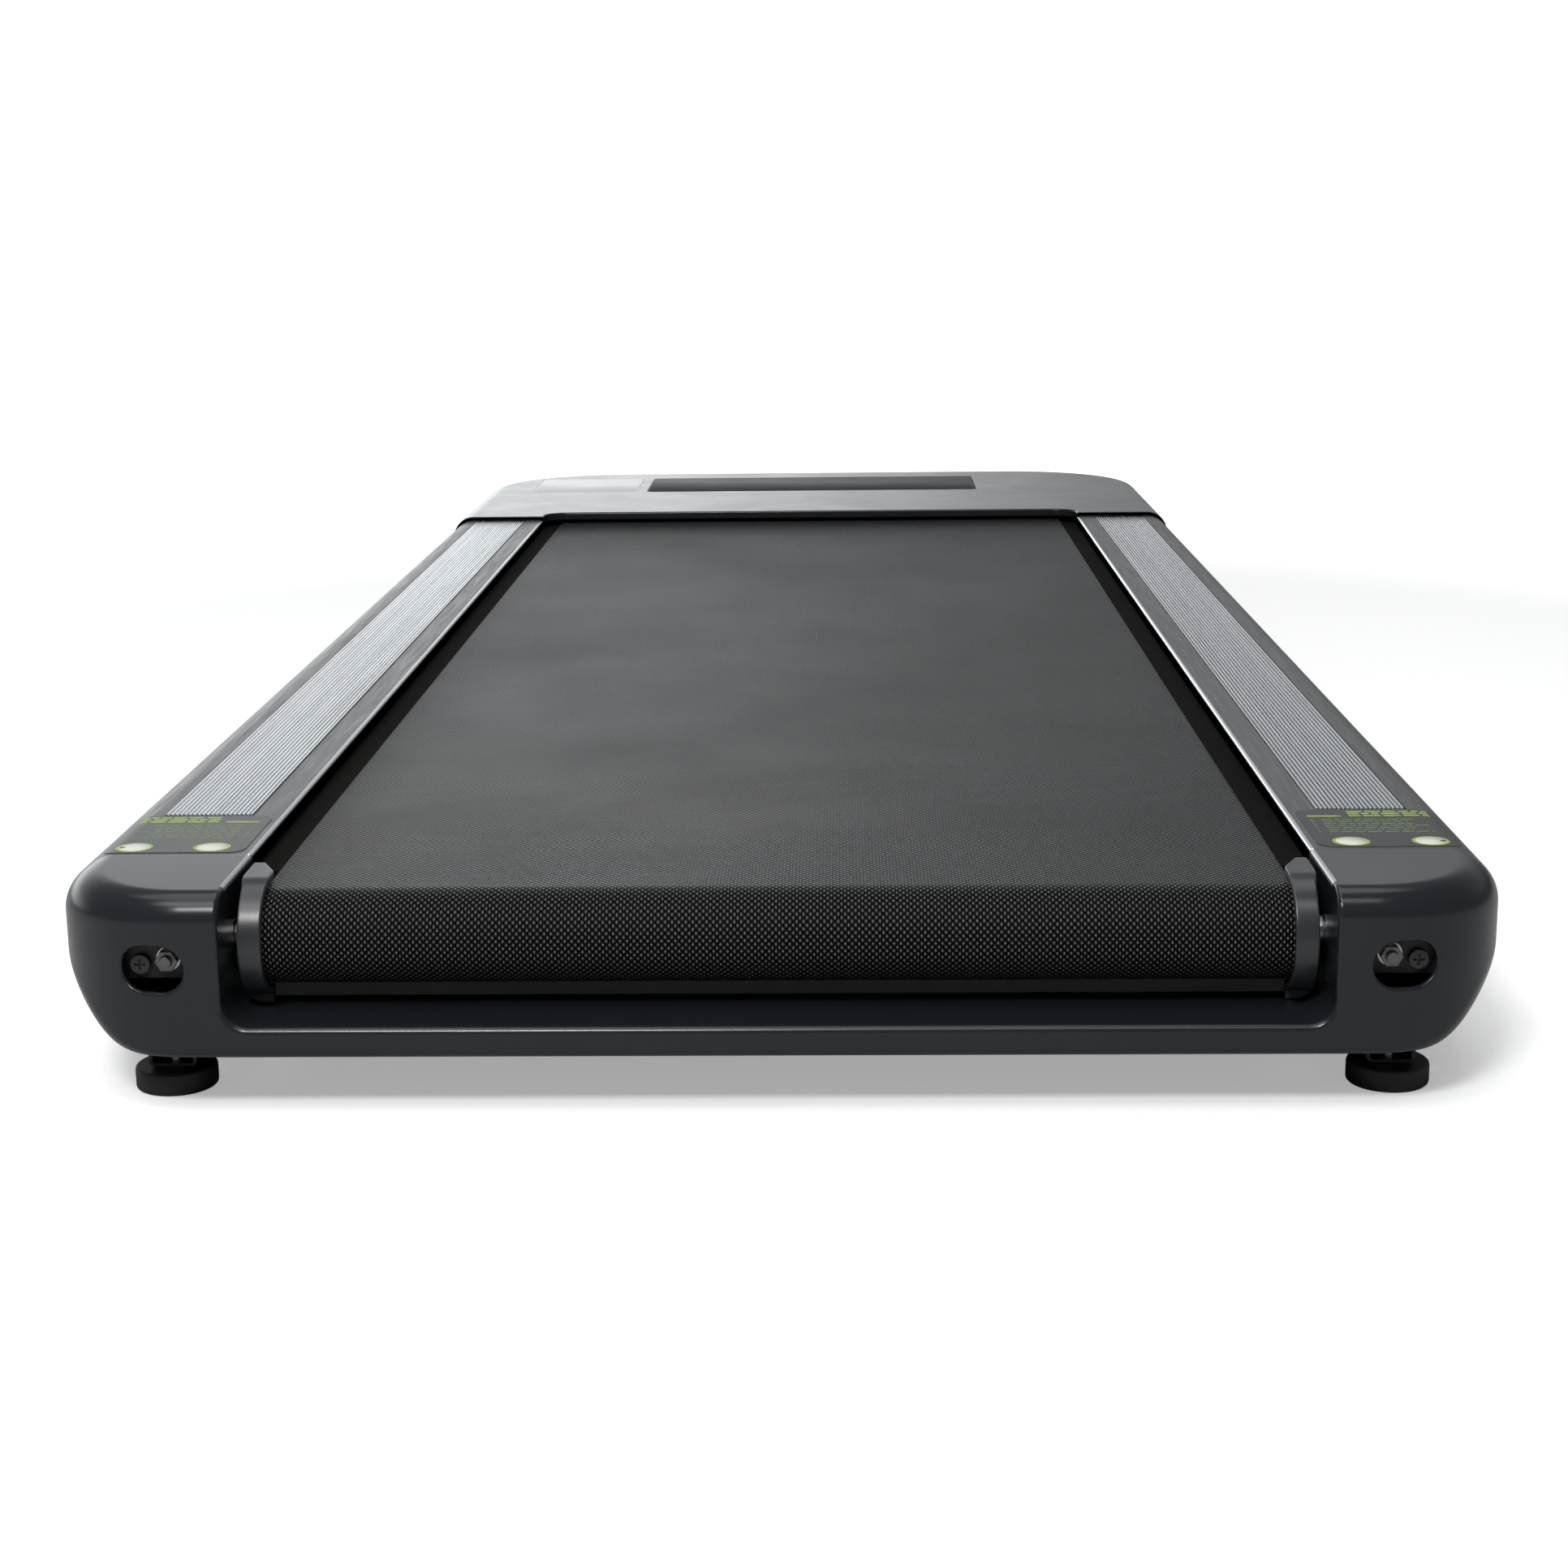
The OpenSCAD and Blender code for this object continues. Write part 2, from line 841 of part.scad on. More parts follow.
module motor_cradle() {
    saddle_z = tray_bottom + tray_thickness;
    color("gray") difference() {
        union() {
            for (x = [motor_x + 28, motor_x + 108])
                block([x, motor_y - 36, saddle_z], [x + 6, motor_y + 36, motor_z - 6]);
            block([motor_x + 28, motor_y + 28, saddle_z],
                [motor_x + 114, motor_y + 36, saddle_z + 6]);
        }
        rod_x(motor_x, motor_x + motor_length, motor_y, motor_z, motor_radius + running_gap);
    }
}

// ---- Hood and underside ----

// Solid that fills the hood's outer form, shrunk by inset, from y0 to the front
module front_form(inset, y0) {
    high_y = hood_front_y - inset;
    intersection() {
        along_y(y0, high_y) casing_section(hood_height, inset);
        translate([0, 0, casing_underside - cut])
            linear_extrude(hood_height)
                soft_box([-half_width + inset, y0 - 50], [half_width - inset, high_y], 10,
                    front_corner_radius - inset);
        along_x(-half_width, half_width) {
            span([y0, casing_underside], [high_y - hood_top_radius, hood_height]);
            soft_box([y0, casing_underside + inset], [high_y, hood_height - inset],
                hood_front_radius - inset, hood_top_radius - inset);
        }
    }
}

module front_hood() {
    corner = 18;
    lip_depth = 6.5;
    color([0.22, 0.24, 0.27]) difference() {
        union() {
            difference() {
                front_form(0, hood_rear_y);
                front_form(cover_wall, hood_rear_y - cut);
            }
            block([-inner_half_width, lip_y, hood_height - lip_depth],
                [inner_half_width, lip_y + cover_wall, hood_height - 1]);
        }
        // opening over the belt, with round inner corners
        translate([0, 0, roller_height])
            linear_extrude(50)
                soft_box([-inner_half_width, hood_rear_y - 60], [inner_half_width, lip_y], 5,
                    corner);
        // open underside and rear
        block([-rail_inner_cut, hood_rear_y - cut, 0], [rail_inner_cut, return_y, 40]);
        // flush panel and its light aperture
        block([-panel_half - 0.2, panel_rear_y - 0.2, hood_height - panel_depth],
            [panel_half + 0.2, panel_front_y + 0.2, hood_height + cut]);
        block([-70, panel_rear_y + 30, hood_height - 10], [70, panel_rear_y + 75, hood_height]);
        block([info_x - 0.1, panel_rear_y - 0.1, hood_height - info_depth],
            [info_x + info_length + 0.1, panel_front_y + 0.1, hood_height + cut]);
        // power inlet, switch and reset button cut-outs
        block([inlet_x - 13.5, hood_front_y - 10, control_z - 10],
            [inlet_x + 13.5, front_y, control_z + 10]);
        block([switch_x - 9.5, hood_front_y - 10, control_z - 6.5],
            [switch_x + 9.5, front_y, control_z + 6.5]);
        rod_y(hood_front_y - 10, front_y, reset_x, control_z, 3.4);
        // wheel wells
        for (side = [-1, 1])
            block([side * wheel_x - 16, return_y - cut, 0],
                [side * wheel_x + 16, wheel_y + wheel_radius + 5, wheel_z + wheel_radius]);
    }
}

// Plate under the motor bay, with an upturned rear edge and vent slots
module belly_pan() {
    rear_edge_top = 22;
    color([0.1, 0.1, 0.11]) difference() {
        union() {
            block([-pan_half, pan_rear_y, pan_bottom],
                [pan_half, pan_front_y, pan_bottom + pan_thickness]);
            block([-pan_half, pan_rear_y, pan_bottom],
                [pan_half, pan_rear_y + pan_thickness, rear_edge_top]);
        }
        for (x = pan_screw_spots)
            translate([x, front_member_y, pan_bottom - cut])
                cylinder(h = pan_thickness + 2 * cut, r = 2.1);
        for (i = [0 : 9])
            translate([-120 + 10 * i, motor_y, 0])
                block([-2, -25, pan_bottom - cut], [2, 25, pan_bottom + pan_thickness + cut]);
    }
}

module belly_pan_screws() {
    color("silver")
        for (x = pan_screw_spots)
            translate([x, front_member_y, pan_bottom]) {
                cylinder(h = pan_thickness + tube_wall - 0.1, r = 2);
                translate([0, 0, -2]) cylinder(h = 2, r = 4);
            }
}

module display_window() {
    color([0.03, 0.03, 0.04])
        block([-panel_half, panel_rear_y, hood_height - panel_depth],
            [panel_half, panel_front_y, hood_height]);
}

module display_board() {
    top = hood_height - cover_wall - 0.3;
    color("darkgreen") {
        block([-66, panel_rear_y + 28, top - 1.6], [66, panel_rear_y + 77, top]);
        block([-50, panel_rear_y + 38, top - 5], [50, panel_rear_y + 66, top - 1.6]);
    }
}

module info_plate() {
    color([0.8, 0.82, 0.82])
        block([info_x, panel_rear_y, hood_height - info_depth],
            [info_x + info_length, panel_front_y, hood_height]);
}

module controller_board() {
    base = tray_bottom + tray_thickness;
    color("darkgreen") {
        for (x = [-200, -50], y = [motor_y - 40, motor_y + 34])
            translate([x, y, base]) cylinder(h = 6.2, r = 3);
        block([-208, motor_y - 48, base + 6], [-42, motor_y + 42, base + 7.6]);
        for (x = [-190, -165])
            translate([x, motor_y - 20, base + 7.5]) cylinder(h = 30, r = 10);
        block([-145, motor_y - 30, base + 7.5], [-115, motor_y + 5, base + 30]);
        block([-100, motor_y - 40, base + 7.5], [-50, motor_y - 36, base + 40]);
        for (i = [0 : 5])
            block([-98 + 8 * i, motor_y - 36, base + 7.5], [-96 + 8 * i, motor_y - 16, base + 40]);
    }
}

// Snap-in appliance inlet: flange, body, socket well and three pins
module power_inlet() {
    depth = 18;
    well = 14;
    color([0.05, 0.05, 0.05]) difference() {
        union() {
            block([inlet_x - 15.5, hood_front_y, control_z - 12],
                [inlet_x + 15.5, flange_y, control_z + 12]);
            block([inlet_x - 13.3, flange_y - depth, control_z - 9.8],
                [inlet_x + 13.3, hood_front_y + 0.5, control_z + 9.8]);
        }
        block([inlet_x - 12, flange_y - well, control_z - 8],
            [inlet_x + 12, front_y, control_z + 8]);
    }
    color("silver")
        for (x = [-7, 0, 7])
            block([inlet_x + x - 1, flange_y - well - 0.5, control_z - 2 + (x == 0 ? 3 : 0)],
                [inlet_x + x + 1, flange_y - 3, control_z + 2 + (x == 0 ? 3 : 0)]);
}

module switch_frame() {
    color([0.06, 0.06, 0.06]) difference() {
        union() {
            block([switch_x - 11, hood_front_y, control_z - 8],
                [switch_x + 11, flange_y, control_z + 8]);
            block([switch_x - 9.3, flange_y - 14, control_z - 6.3],
                [switch_x + 9.3, hood_front_y + 0.5, control_z + 6.3]);
        }
        block([switch_x - 8, flange_y - 12, control_z - 5],
            [switch_x + 8, front_y, control_z + 5]);
        translate([switch_x, rocker_y, control_z - 6])
            cylinder(h = 12, r = pivot_radius + running_gap);
    }
}

// Rocker in its off position; it tips about a vertical line in the frame's middle
module switch_rocker() {
    color([0.55, 0.08, 0.07]) translate([switch_x, rocker_y, control_z]) {
        translate([0, 0, -4.6])
            linear_extrude(9.2) rotate(rocker_tilt)
                polygon([[-6.5, -3], [6.5, -3], [6.8, 3.8], [0, 2.6], [-6.8, 3.8]]);
        translate([0, 0, -5.8]) cylinder(h = 11.6, r = pivot_radius);
    }
}

module reset_button() {
    color([0.1, 0.1, 0.1]) rod_y(front_y - 15.5, front_y, reset_x, control_z, 3);
}

// ---- Wheels and feet ----

module transport_wheel(side) {
    translate([side * wheel_x - wheel_width / 2, wheel_y, wheel_z]) rotate([0, 90, 0])
        rotate_extrude() difference() {
            soft_box([-wheel_radius, 0], [wheel_radius, wheel_width], 3, 3);
            span([-wheel_radius - cut, -cut], [wheel_bore, wheel_width + cut]);
            for (z = [-cut, wheel_width - 3])
                span([9, z], [wheel_radius - 6, z + 3 + cut]);
        }
}

module wheel_left() {
    color([0.1, 0.1, 0.1]) transport_wheel(-1);
}

module wheel_right() {
    color([0.1, 0.1, 0.1]) transport_wheel(1);
}

module wheel_brackets() {
    back_y = front_member_y + member_size / 2;
    plate = 2;
    inner = wheel_width / 2 + 1.2;
    color("gray")
        for (side = [-1, 1]) {
            difference() {
                for (x = [side * wheel_x - inner - plate, side * wheel_x + inner])
                    block([x, back_y, 16], [x + plate, wheel_y + 9, 39]);
                rod_x(side * wheel_x - 20, side * wheel_x + 20, wheel_y, wheel_z,
                    wheel_axle_radius + 0.02);
            }
            block([side * wheel_x - inner - plate, back_y, 16],
                [side * wheel_x + inner + plate, back_y + plate, 36]);
        }
}

module wheel_axles() {
    half = wheel_width / 2 + 4.2;
    color("silver")
        for (side = [-1, 1]) {
            rod_x(side * wheel_x - half, side * wheel_x + half, wheel_y, wheel_z,
                wheel_axle_radius);
            for (x = [-half - 1.5, half])
                rod_x(side * wheel_x + x, side * wheel_x + x + 1.5, wheel_y, wheel_z, 6);
        }
}

module feet() {
    color([0.07, 0.07, 0.07])
        for (x = [-tube_offset, tube_offset], y = foot_spots)
            translate([x, y, 0]) difference() {
                cylinder(h = foot_height, r = foot_radius);
                translate([0, 0, -cut]) cylinder(h = 4 + cut, r = 6);
                cylinder(h = foot_height + cut, r = foot_screw_radius + 0.1);
            }
}

module foot_screws() {
    color("silver")
        for (x = [-tube_offset, tube_offset], y = foot_spots)
            translate([x, y, 0]) {
                translate([0, 0, 1]) cylinder(h = 3, r = 5);
                translate([0, 0, 3.5]) cylinder(h = 12, r = foot_screw_radius);
            }
}

frame_tube_left();
frame_tube_right();
rear_cross_member();
middle_cross_members();
front_cross_member();
motor_tray();
deck_board();
deck_cushions();
deck_screws();
running_belt();
rear_roller();
rear_roller_bearings();
rear_roller_axle();
axle_block_left();
axle_block_right();
tension_bracket_left();
tension_bracket_right();
tension_bolt_left();
tension_bolt_right();
tension_washers();
bracket_screws();
rear_cover();
roller_guard_left();
roller_guard_right();
side_rail_left();
side_rail_right();
tread_strip_left();
tread_strip_right();
rail_label_left();
rail_label_right();
front_roller();
front_roller_bearings();
front_roller_axle();
front_axle_mounts();
drive_pulley();
drive_belt();
motor_case();
motor_magnets();
motor_rotor();
motor_shaft();
motor_pulley();
motor_fan();
motor_cradle();
front_hood();
belly_pan();
belly_pan_screws();
display_window();
display_board();
info_plate();
controller_board();
power_inlet();
switch_frame();
switch_rocker();
reset_button();
wheel_left();
wheel_right();
wheel_brackets();
wheel_axles();
feet();
foot_screws();
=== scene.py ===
"""Looks for a slim under-desk treadmill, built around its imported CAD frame.

Lengths are in millimetres until a mesh is made.
"""

import json
import math

import bpy
import numpy as np
from mathutils import Matrix, Vector


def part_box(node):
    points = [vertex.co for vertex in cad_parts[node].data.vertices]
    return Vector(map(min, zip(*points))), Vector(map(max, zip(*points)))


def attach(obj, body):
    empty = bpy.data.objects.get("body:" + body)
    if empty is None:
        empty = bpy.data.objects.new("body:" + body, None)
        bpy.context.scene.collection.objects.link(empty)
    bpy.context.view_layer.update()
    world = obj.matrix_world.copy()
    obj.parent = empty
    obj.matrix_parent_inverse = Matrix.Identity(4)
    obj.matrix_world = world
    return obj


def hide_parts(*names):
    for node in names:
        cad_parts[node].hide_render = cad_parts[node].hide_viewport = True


MM = 0.001

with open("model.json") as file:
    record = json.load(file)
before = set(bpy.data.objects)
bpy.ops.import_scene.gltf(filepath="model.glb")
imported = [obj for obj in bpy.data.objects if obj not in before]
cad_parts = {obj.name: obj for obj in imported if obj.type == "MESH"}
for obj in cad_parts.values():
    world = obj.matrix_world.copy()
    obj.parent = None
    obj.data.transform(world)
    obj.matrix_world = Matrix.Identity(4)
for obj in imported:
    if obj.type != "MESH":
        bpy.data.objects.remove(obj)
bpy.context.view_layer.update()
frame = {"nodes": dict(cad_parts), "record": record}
cad_nodes = frame["nodes"]
node_slot = {s["node"]: s["material_slot"] for s in frame["record"]["subparts"]}


def extent(node):
    """A CAD node's lowest and highest corner, in millimetres."""
    low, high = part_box(node)
    return np.array(low) / MM, np.array(high) / MM


# Levels of the frame, taken from the CAD nodes
cover_low, cover_high = extent("rear_cover")
hood_low, hood_high = extent("front_hood")
rail_low = extent("side_rail_right")[0]
strip_low, strip_high = extent("tread_strip_right")
label_low, label_high = extent("rail_label_right")
belt_low, belt_high = extent("running_belt")
guard_low, guard_high = extent("roller_guard_right")
roller_low, roller_high = extent("rear_roller")
window_low, window_high = extent("display_window")
info_low, info_high = extent("info_plate")

HALF = cover_high[0]
REAR = cover_low[1]
SEAM = cover_high[1]
UNDER = cover_low[2]
DECK = cover_high[2]
INNER = rail_low[0]
HOOD_TOP = hood_high[2]
HOOD_REAR = hood_low[1]
HOOD_FRONT = hood_high[1]
AXIS_Y = (roller_low[1] + roller_high[1]) / 2
AXIS_Z = (roller_low[2] + roller_high[2]) / 2
BUMPER_TOP = 37
BUMPER_BACK = REAR + 45.5
LIP = 441.5  # the hood's edge over the belt
WALL = 3  # the mouldings
RAIL_WALL = 2.6
RAIL_TOP_R = 17
TUBE_SIDE = 264.5  # the rails and the covers leave room for the frame tubes up to here
TUBE_ROOF = 54.5
SEAT_GAP = 0.15  # round a strip or plate in its recess
WINDOW_GAP = 0.3
FILM = 0.25  # the labels' thickness


# ---- Signed distance fields, negative inside ----


def both(a, b, r):
    """Intersection with a rounded edge."""
    return np.minimum(-r, np.maximum(a, b)) + np.hypot(np.maximum(a + r, 0), np.maximum(b + r, 0))


def less(a, b, r):
    """a with b cut away, with a rounded edge."""
    return both(a, -b, r)


def either(a, b, r):
    """Union with a filleted corner."""
    return -both(-a, -b, r)


def between(v, low, high):
    return np.maximum(low - v, v - high)


def block(x, y, z, low, high):
    return np.maximum(
        np.maximum(between(x, low[0], high[0]), between(y, low[1], high[1])), between(z, low[2], high[2])
    )


def soft_step(v, low, high):
    t = np.clip((v - low) / (high - low), 0, 1)
    return t * t * (3 - 2 * t)


def outline(ax, run, half, reach, r):
    """Plan distance to corners of radius r at |x| = half, run = reach, and how far the edge faces sideways."""
    u, v = ax - (half - r), run - (reach - r)
    pu, pv = np.maximum(u, 0), np.maximum(v, 0)
    d = np.hypot(pu, pv) + np.minimum(np.maximum(u, v), 0) - r
    side = np.where(pu + pv > 0, pu**2 / np.maximum(pu**2 + pv**2, 1e-9), 0.5)
    return d, side


def lattice(low, high, step, *spans):
    """Grid coordinates at most step apart, and finer inside each (start, end, step) span."""
    marks = {low, high}
    for a, b, _ in spans:
        marks |= {min(max(a, low), high), min(max(b, low), high)}
    marks = sorted(marks)
    out = [low]
    for a, b in zip(marks, marks[1:]):
        fine = min([step] + [s for p, q, s in spans if p <= a + 1e-9 and q >= b - 1e-9])
        n = max(1, math.ceil((b - a) / fine - 1e-6))
        out += [a + (b - a) * (i + 1) / n for i in range(n)]
    return np.array(out)


def at(value, width=0.5, step=0.25):
    """A fine span of the lattice around one sharp plane."""
    return (value - width, value + width, step)


def slope(field, p, h=0.02):
    """Field value and gradient at points p."""
    x, y, z = p.T
    g = np.stack(
        [
            field(x + h, y, z) - field(x - h, y, z),
            field(x, y + h, z) - field(x, y - h, z),
            field(x, y, z + h) - field(x, y, z - h),
        ],
        1,
    ) / (2 * h)
    return field(x, y, z), g


def skin(field, xs, ys, zs):
    """Surface nets over a rectilinear lattice, then moved onto the exact surface: points, quads, normals."""
    axes = (xs, ys, zs)
    f = field(*np.meshgrid(xs, ys, zs, indexing="ij"))
    inside = f < 0
    shape = np.array(f.shape)
    cells, spots, quads = [], [], []
    for a in range(3):
        b, c = (a + 1) % 3, (a + 2) % 3
        lo = [slice(None)] * 3
        hi = [slice(None)] * 3
        lo[a], hi[a] = slice(0, -1), slice(1, None)
        lo, hi = tuple(lo), tuple(hi)
        idx = np.argwhere(inside[lo] != inside[hi])
        f0, f1 = f[lo][tuple(idx.T)], f[hi][tuple(idx.T)]
        t = f0 / (f0 - f1)
        p = np.stack([axes[k][idx[:, k]] for k in range(3)], 1)
        p[:, a] += t * (axes[a][idx[:, a] + 1] - axes[a][idx[:, a]])
        ring = []
        for db, dc in ((1, 1), (0, 1), (0, 0), (1, 0)):
            cell = idx.copy()
            cell[:, b] -= db
            cell[:, c] -= dc
            ring.append(np.ravel_multi_index(tuple(cell.T), shape))
        ring = np.stack(ring, 1)
        flip = f0 > 0
        ring[flip] = ring[flip][:, ::-1]
        quads.append(ring)
        cells.append(ring.T.ravel())
        spots.append(np.tile(p, (4, 1)))
    flat = np.concatenate([q.ravel() for q in quads])
    ids, inverse = np.unique(flat, return_inverse=True)
    faces = inverse.reshape(-1, 4)
    where = np.searchsorted(ids, np.concatenate(cells))
    count = np.bincount(where, minlength=len(ids))
    spots = np.concatenate(spots)
    points = np.stack([np.bincount(where, spots[:, k], len(ids)) / count for k in range(3)], 1)
    for _ in range(4):
        value, g = slope(field, points)
        step = (value / np.maximum((g**2).sum(1), 0.25))[:, None] * g
        points -= np.clip(step, -1.5, 1.5)
    g = slope(field, points)[1]
    normals = g / np.maximum(np.linalg.norm(g, axis=1), 1e-6)[:, None]
    return points, faces, normals


# ---- Mesh objects ----


def piece(name, points, faces, finish, body, slot, stands_for=(), normals=None):
    """A mesh object from points in millimetres that rides on a CAD body."""
    mesh = bpy.data.meshes.new(name)
    faces = faces.tolist() if isinstance(faces, np.ndarray) else faces
    mesh.from_pydata((np.asarray(points, float) * MM).tolist(), [], faces)
    mesh.materials.append(finish)
    mesh.shade_smooth()
    if normals is not None:
        mesh.normals_split_custom_set_from_vertices(np.asarray(normals).tolist())
    obj = bpy.data.objects.new(name, mesh)
    bpy.context.scene.collection.objects.link(obj)
    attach(obj, body)
    if stands_for:
        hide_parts(*stands_for)
    return obj


def mirrored(points, faces, normals=None):
    """The same surface on the other side of the centre plane."""
    flip = np.array([-1, 1, 1])
    faces = faces[:, ::-1] if isinstance(faces, np.ndarray) else [f[::-1] for f in faces]
    return np.asarray(points) * flip, faces, None if normals is None else normals * flip


def pair(stem, shape, finish, slot):
    """One piece on each side, from a shape drawn on the right."""
    right = piece(stem + "_right.body", *shape[:2], finish, "chassis", slot, [stem + "_right"], *shape[2:])
    shape = mirrored(*shape)
    left = piece(stem + "_left.body", *shape[:2], finish, "chassis", slot, [stem + "_left"], shape[2])
    return right, left


def sweep(section, stations):
    """Closed section (n, 2) carried through stations, each a function of (u, v); capped at both ends."""
    n = len(section)
    points = np.concatenate([place(section) for place in stations])
    faces = []
    for k in range(len(stations) - 1):
        for i in range(n):
            j = (i + 1) % n
            faces.append([k * n + i, k * n + j, (k + 1) * n + j, (k + 1) * n + i])
    faces.append(list(range(n))[::-1])
    faces.append([(len(stations) - 1) * n + i for i in range(n)])
    return points, faces


def lathe(profile, centre, axis, steps):
    """Closed profile of (radius, height) turned about an axis (0, 1 or 2) through centre."""
    b, c = (axis + 1) % 3, (axis + 2) % 3
    n = len(profile)
    points, faces = [], []
    for k in range(steps):
        angle = 2 * math.pi * k / steps
        for radius, height in profile:
            p = list(centre)
            p[axis] += height
            p[b] += radius * math.cos(angle)
            p[c] += radius * math.sin(angle)
            points.append(p)
    for k in range(steps):
        m = (k + 1) % steps
        for i in range(n):
            j = (i + 1) % n
            faces.append([k * n + i, m * n + i, m * n + j, k * n + j])
    return points, faces


def crisp(obj, angle):
    """Smooth shading that breaks at edges sharper than angle degrees."""
    mesh = obj.data
    mesh.shade_smooth()
    mesh.set_sharp_from_angle(angle=math.radians(angle))


# ---- Materials ----


class Nodes:
    """Short spellings for building one material's node tree."""

    def __init__(self, name):
        self.material = bpy.data.materials.new(name)
        self.material.use_nodes = True
        self.tree = self.material.node_tree
        self.shader = self.tree.nodes["Principled BSDF"]
        self.place = self.add("ShaderNodeTexCoord").outputs["Object"]

    def add(self, kind, **values):
        node = self.tree.nodes.new(kind)
        for key, value in values.items():
            setattr(node, key, value)
        return node

    def link(self, source, socket):
        self.tree.links.new(source, socket)

    def feed(self, socket, value):
        if hasattr(value, "is_output"):
            self.link(value, socket)
        else:
            socket.default_value = value

    def math(self, operation, a, b=0.0):
        node = self.add("ShaderNodeMath", operation=operation)
        self.feed(node.inputs[0], a)
        self.feed(node.inputs[1], b)
        return node.outputs[0]

    def ramp(self, value, low, high, to_low, to_high):
        node = self.add("ShaderNodeMapRange")
        self.feed(node.inputs["Value"], value)
        for key, number in (("From Min", low), ("From Max", high), ("To Min", to_low), ("To Max", to_high)):
            node.inputs[key].default_value = number
        return node.outputs["Result"]

    def noise(self, scale, detail, rough, stretch=None):
        """Noise with features about 1/scale metres across."""
        node = self.add("ShaderNodeTexNoise")
        node.inputs["Scale"].default_value = scale
        node.inputs["Detail"].default_value = detail
        node.inputs["Roughness"].default_value = rough
        source = self.place
        if stretch:
            mapping = self.add("ShaderNodeMapping")
            mapping.inputs["Scale"].default_value = stretch
            self.link(source, mapping.inputs["Vector"])
            source = mapping.outputs["Vector"]
        self.link(source, node.inputs["Vector"])
        return node.outputs["Fac"]

    def mix(self, share, a, b):
        node = self.add("ShaderNodeMix", data_type="RGBA")
        self.feed(node.inputs["Factor"], share)
        self.feed(node.inputs["A"], a if hasattr(a, "is_output") else (*a, 1))
        self.feed(node.inputs["B"], b if hasattr(b, "is_output") else (*b, 1))
        return node.outputs["Result"]

    def bump(self, height, distance, normal=None):
        node = self.add("ShaderNodeBump")
        node.inputs["Strength"].default_value = 1.0
        node.inputs["Distance"].default_value = distance
        self.link(height, node.inputs["Height"])
        if normal is not None:
            self.link(normal, node.inputs["Normal"])
        return node.outputs["Normal"]

    def soft_edges(self, radius):
        """Normals rounded over the edges, for solids whose mesh is sharp."""
        node = self.add("ShaderNodeBevel", samples=4)
        node.inputs["Radius"].default_value = radius
        return node.outputs["Normal"]

    def set(self, **values):
        for key, value in values.items():
            self.feed(self.shader.inputs[key.replace("_", " ")], value)


def tinted(color, factor):
    return tuple(min(1.0, c * factor) for c in color)


def plain(name, color, rough, metallic=0.0, grain=2600, grain_depth=0.00002, spread=0.12, rough_spread=0.06,
          edges=0.0, stretch=None, specular=0.5, cloud=18):
    """A solid finish with cloudy colour, uneven gloss and a fine surface grain."""
    n = Nodes(name)
    blotch = n.noise(cloud, 4.0, 0.6)
    fine = n.noise(grain, 2.0, 0.6, stretch)
    speck = n.math("ADD", n.math("MULTIPLY", blotch, 0.65), n.math("MULTIPLY", fine, 0.35))
    n.set(
        Base_Color=n.mix(speck, tinted(color, 1 - spread), tinted(color, 1 + spread)),
        Roughness=n.ramp(n.math("ADD", n.math("MULTIPLY", blotch, 0.5), n.math("MULTIPLY", fine, 0.5)),
                         0.3, 0.7, max(0.02, rough - rough_spread), rough + rough_spread),
        Metallic=metallic,
        Specular_IOR_Level=specular,
        Normal=n.bump(fine, grain_depth, n.soft_edges(edges) if edges else None),
    )
    return n.material


def brushed(name, color, rough, stretch, scale, depth=0.00001, edges=0.0, spread=0.1, metallic=1.0):
    """Metal with fine lines along one axis; stretch is small along the lines."""
    n = Nodes(name)
    lines = n.noise(scale, 3.0, 0.7, stretch)
    blotch = n.noise(14, 3.0, 0.6)
    n.set(
        Base_Color=n.mix(n.math("ADD", n.math("MULTIPLY", lines, 0.6), n.math("MULTIPLY", blotch, 0.4)),
                         tinted(color, 1 - spread), tinted(color, 1 + spread)),
        Roughness=n.ramp(lines, 0.3, 0.7, max(0.03, rough - 0.07), rough + 0.08),
        Metallic=metallic,
        Normal=n.bump(lines, depth, n.soft_edges(edges) if edges else None),
    )
    return n.material


def belt_finish():
    """Black rubber embossed with small diamond studs, drawn along the belt's own length, with a painted highlight on
    the stud tops and painted shade in the grooves.
    """
    n = Nodes("belt_rubber")
    uv = n.add("ShaderNodeUVMap", uv_map="run").outputs["UV"]
    split = n.add("ShaderNodeSeparateXYZ")
    n.link(uv, split.inputs[0])
    across, along = split.outputs[0], split.outputs[1]
    pitch_x, pitch_y = 0.0028, 0.0031
    u = n.math("MULTIPLY", across, 2 * math.pi / pitch_x)
    v = n.math("MULTIPLY", along, 2 * math.pi / pitch_y)
    # Studs stand in the diamonds between two families of slanting grooves
    groove = [
        n.math("ABSOLUTE", n.math("COSINE", n.math("MULTIPLY", n.math(op, u, v), 0.5))) for op in ("ADD", "SUBTRACT")
    ]
    height = n.math("POWER", n.math("MULTIPLY", groove[0], groove[1]), 0.8)
    # The stud tops are painted lighter than the grooves, and the grooves reflect less: a painted highlight on the
    # studs and painted shade in the grooves
    painted_stud_glint = n.math("POWER", height, 3.0)
    blotch = n.noise(9, 4.0, 0.6)
    fine = n.noise(1500, 2.0, 0.6)
    n.set(
        Base_Color=n.mix(n.math("MULTIPLY", painted_stud_glint, n.ramp(blotch, 0.2, 0.8, 0.8, 1.2)), (0.0015, 0.0015, 0.0017),
                         (0.075, 0.077, 0.080)),
        Roughness=n.ramp(n.math("ADD", blotch, n.math("MULTIPLY", fine, 0.4)), 0.4, 1.0, 0.32, 0.42),
        Specular_IOR_Level=n.ramp(height, 0.15, 0.8, 0.05, 0.75),
        Normal=n.bump(n.math("ADD", height, n.math("MULTIPLY", fine, 0.04)), 0.0012),
    )
    return n.material


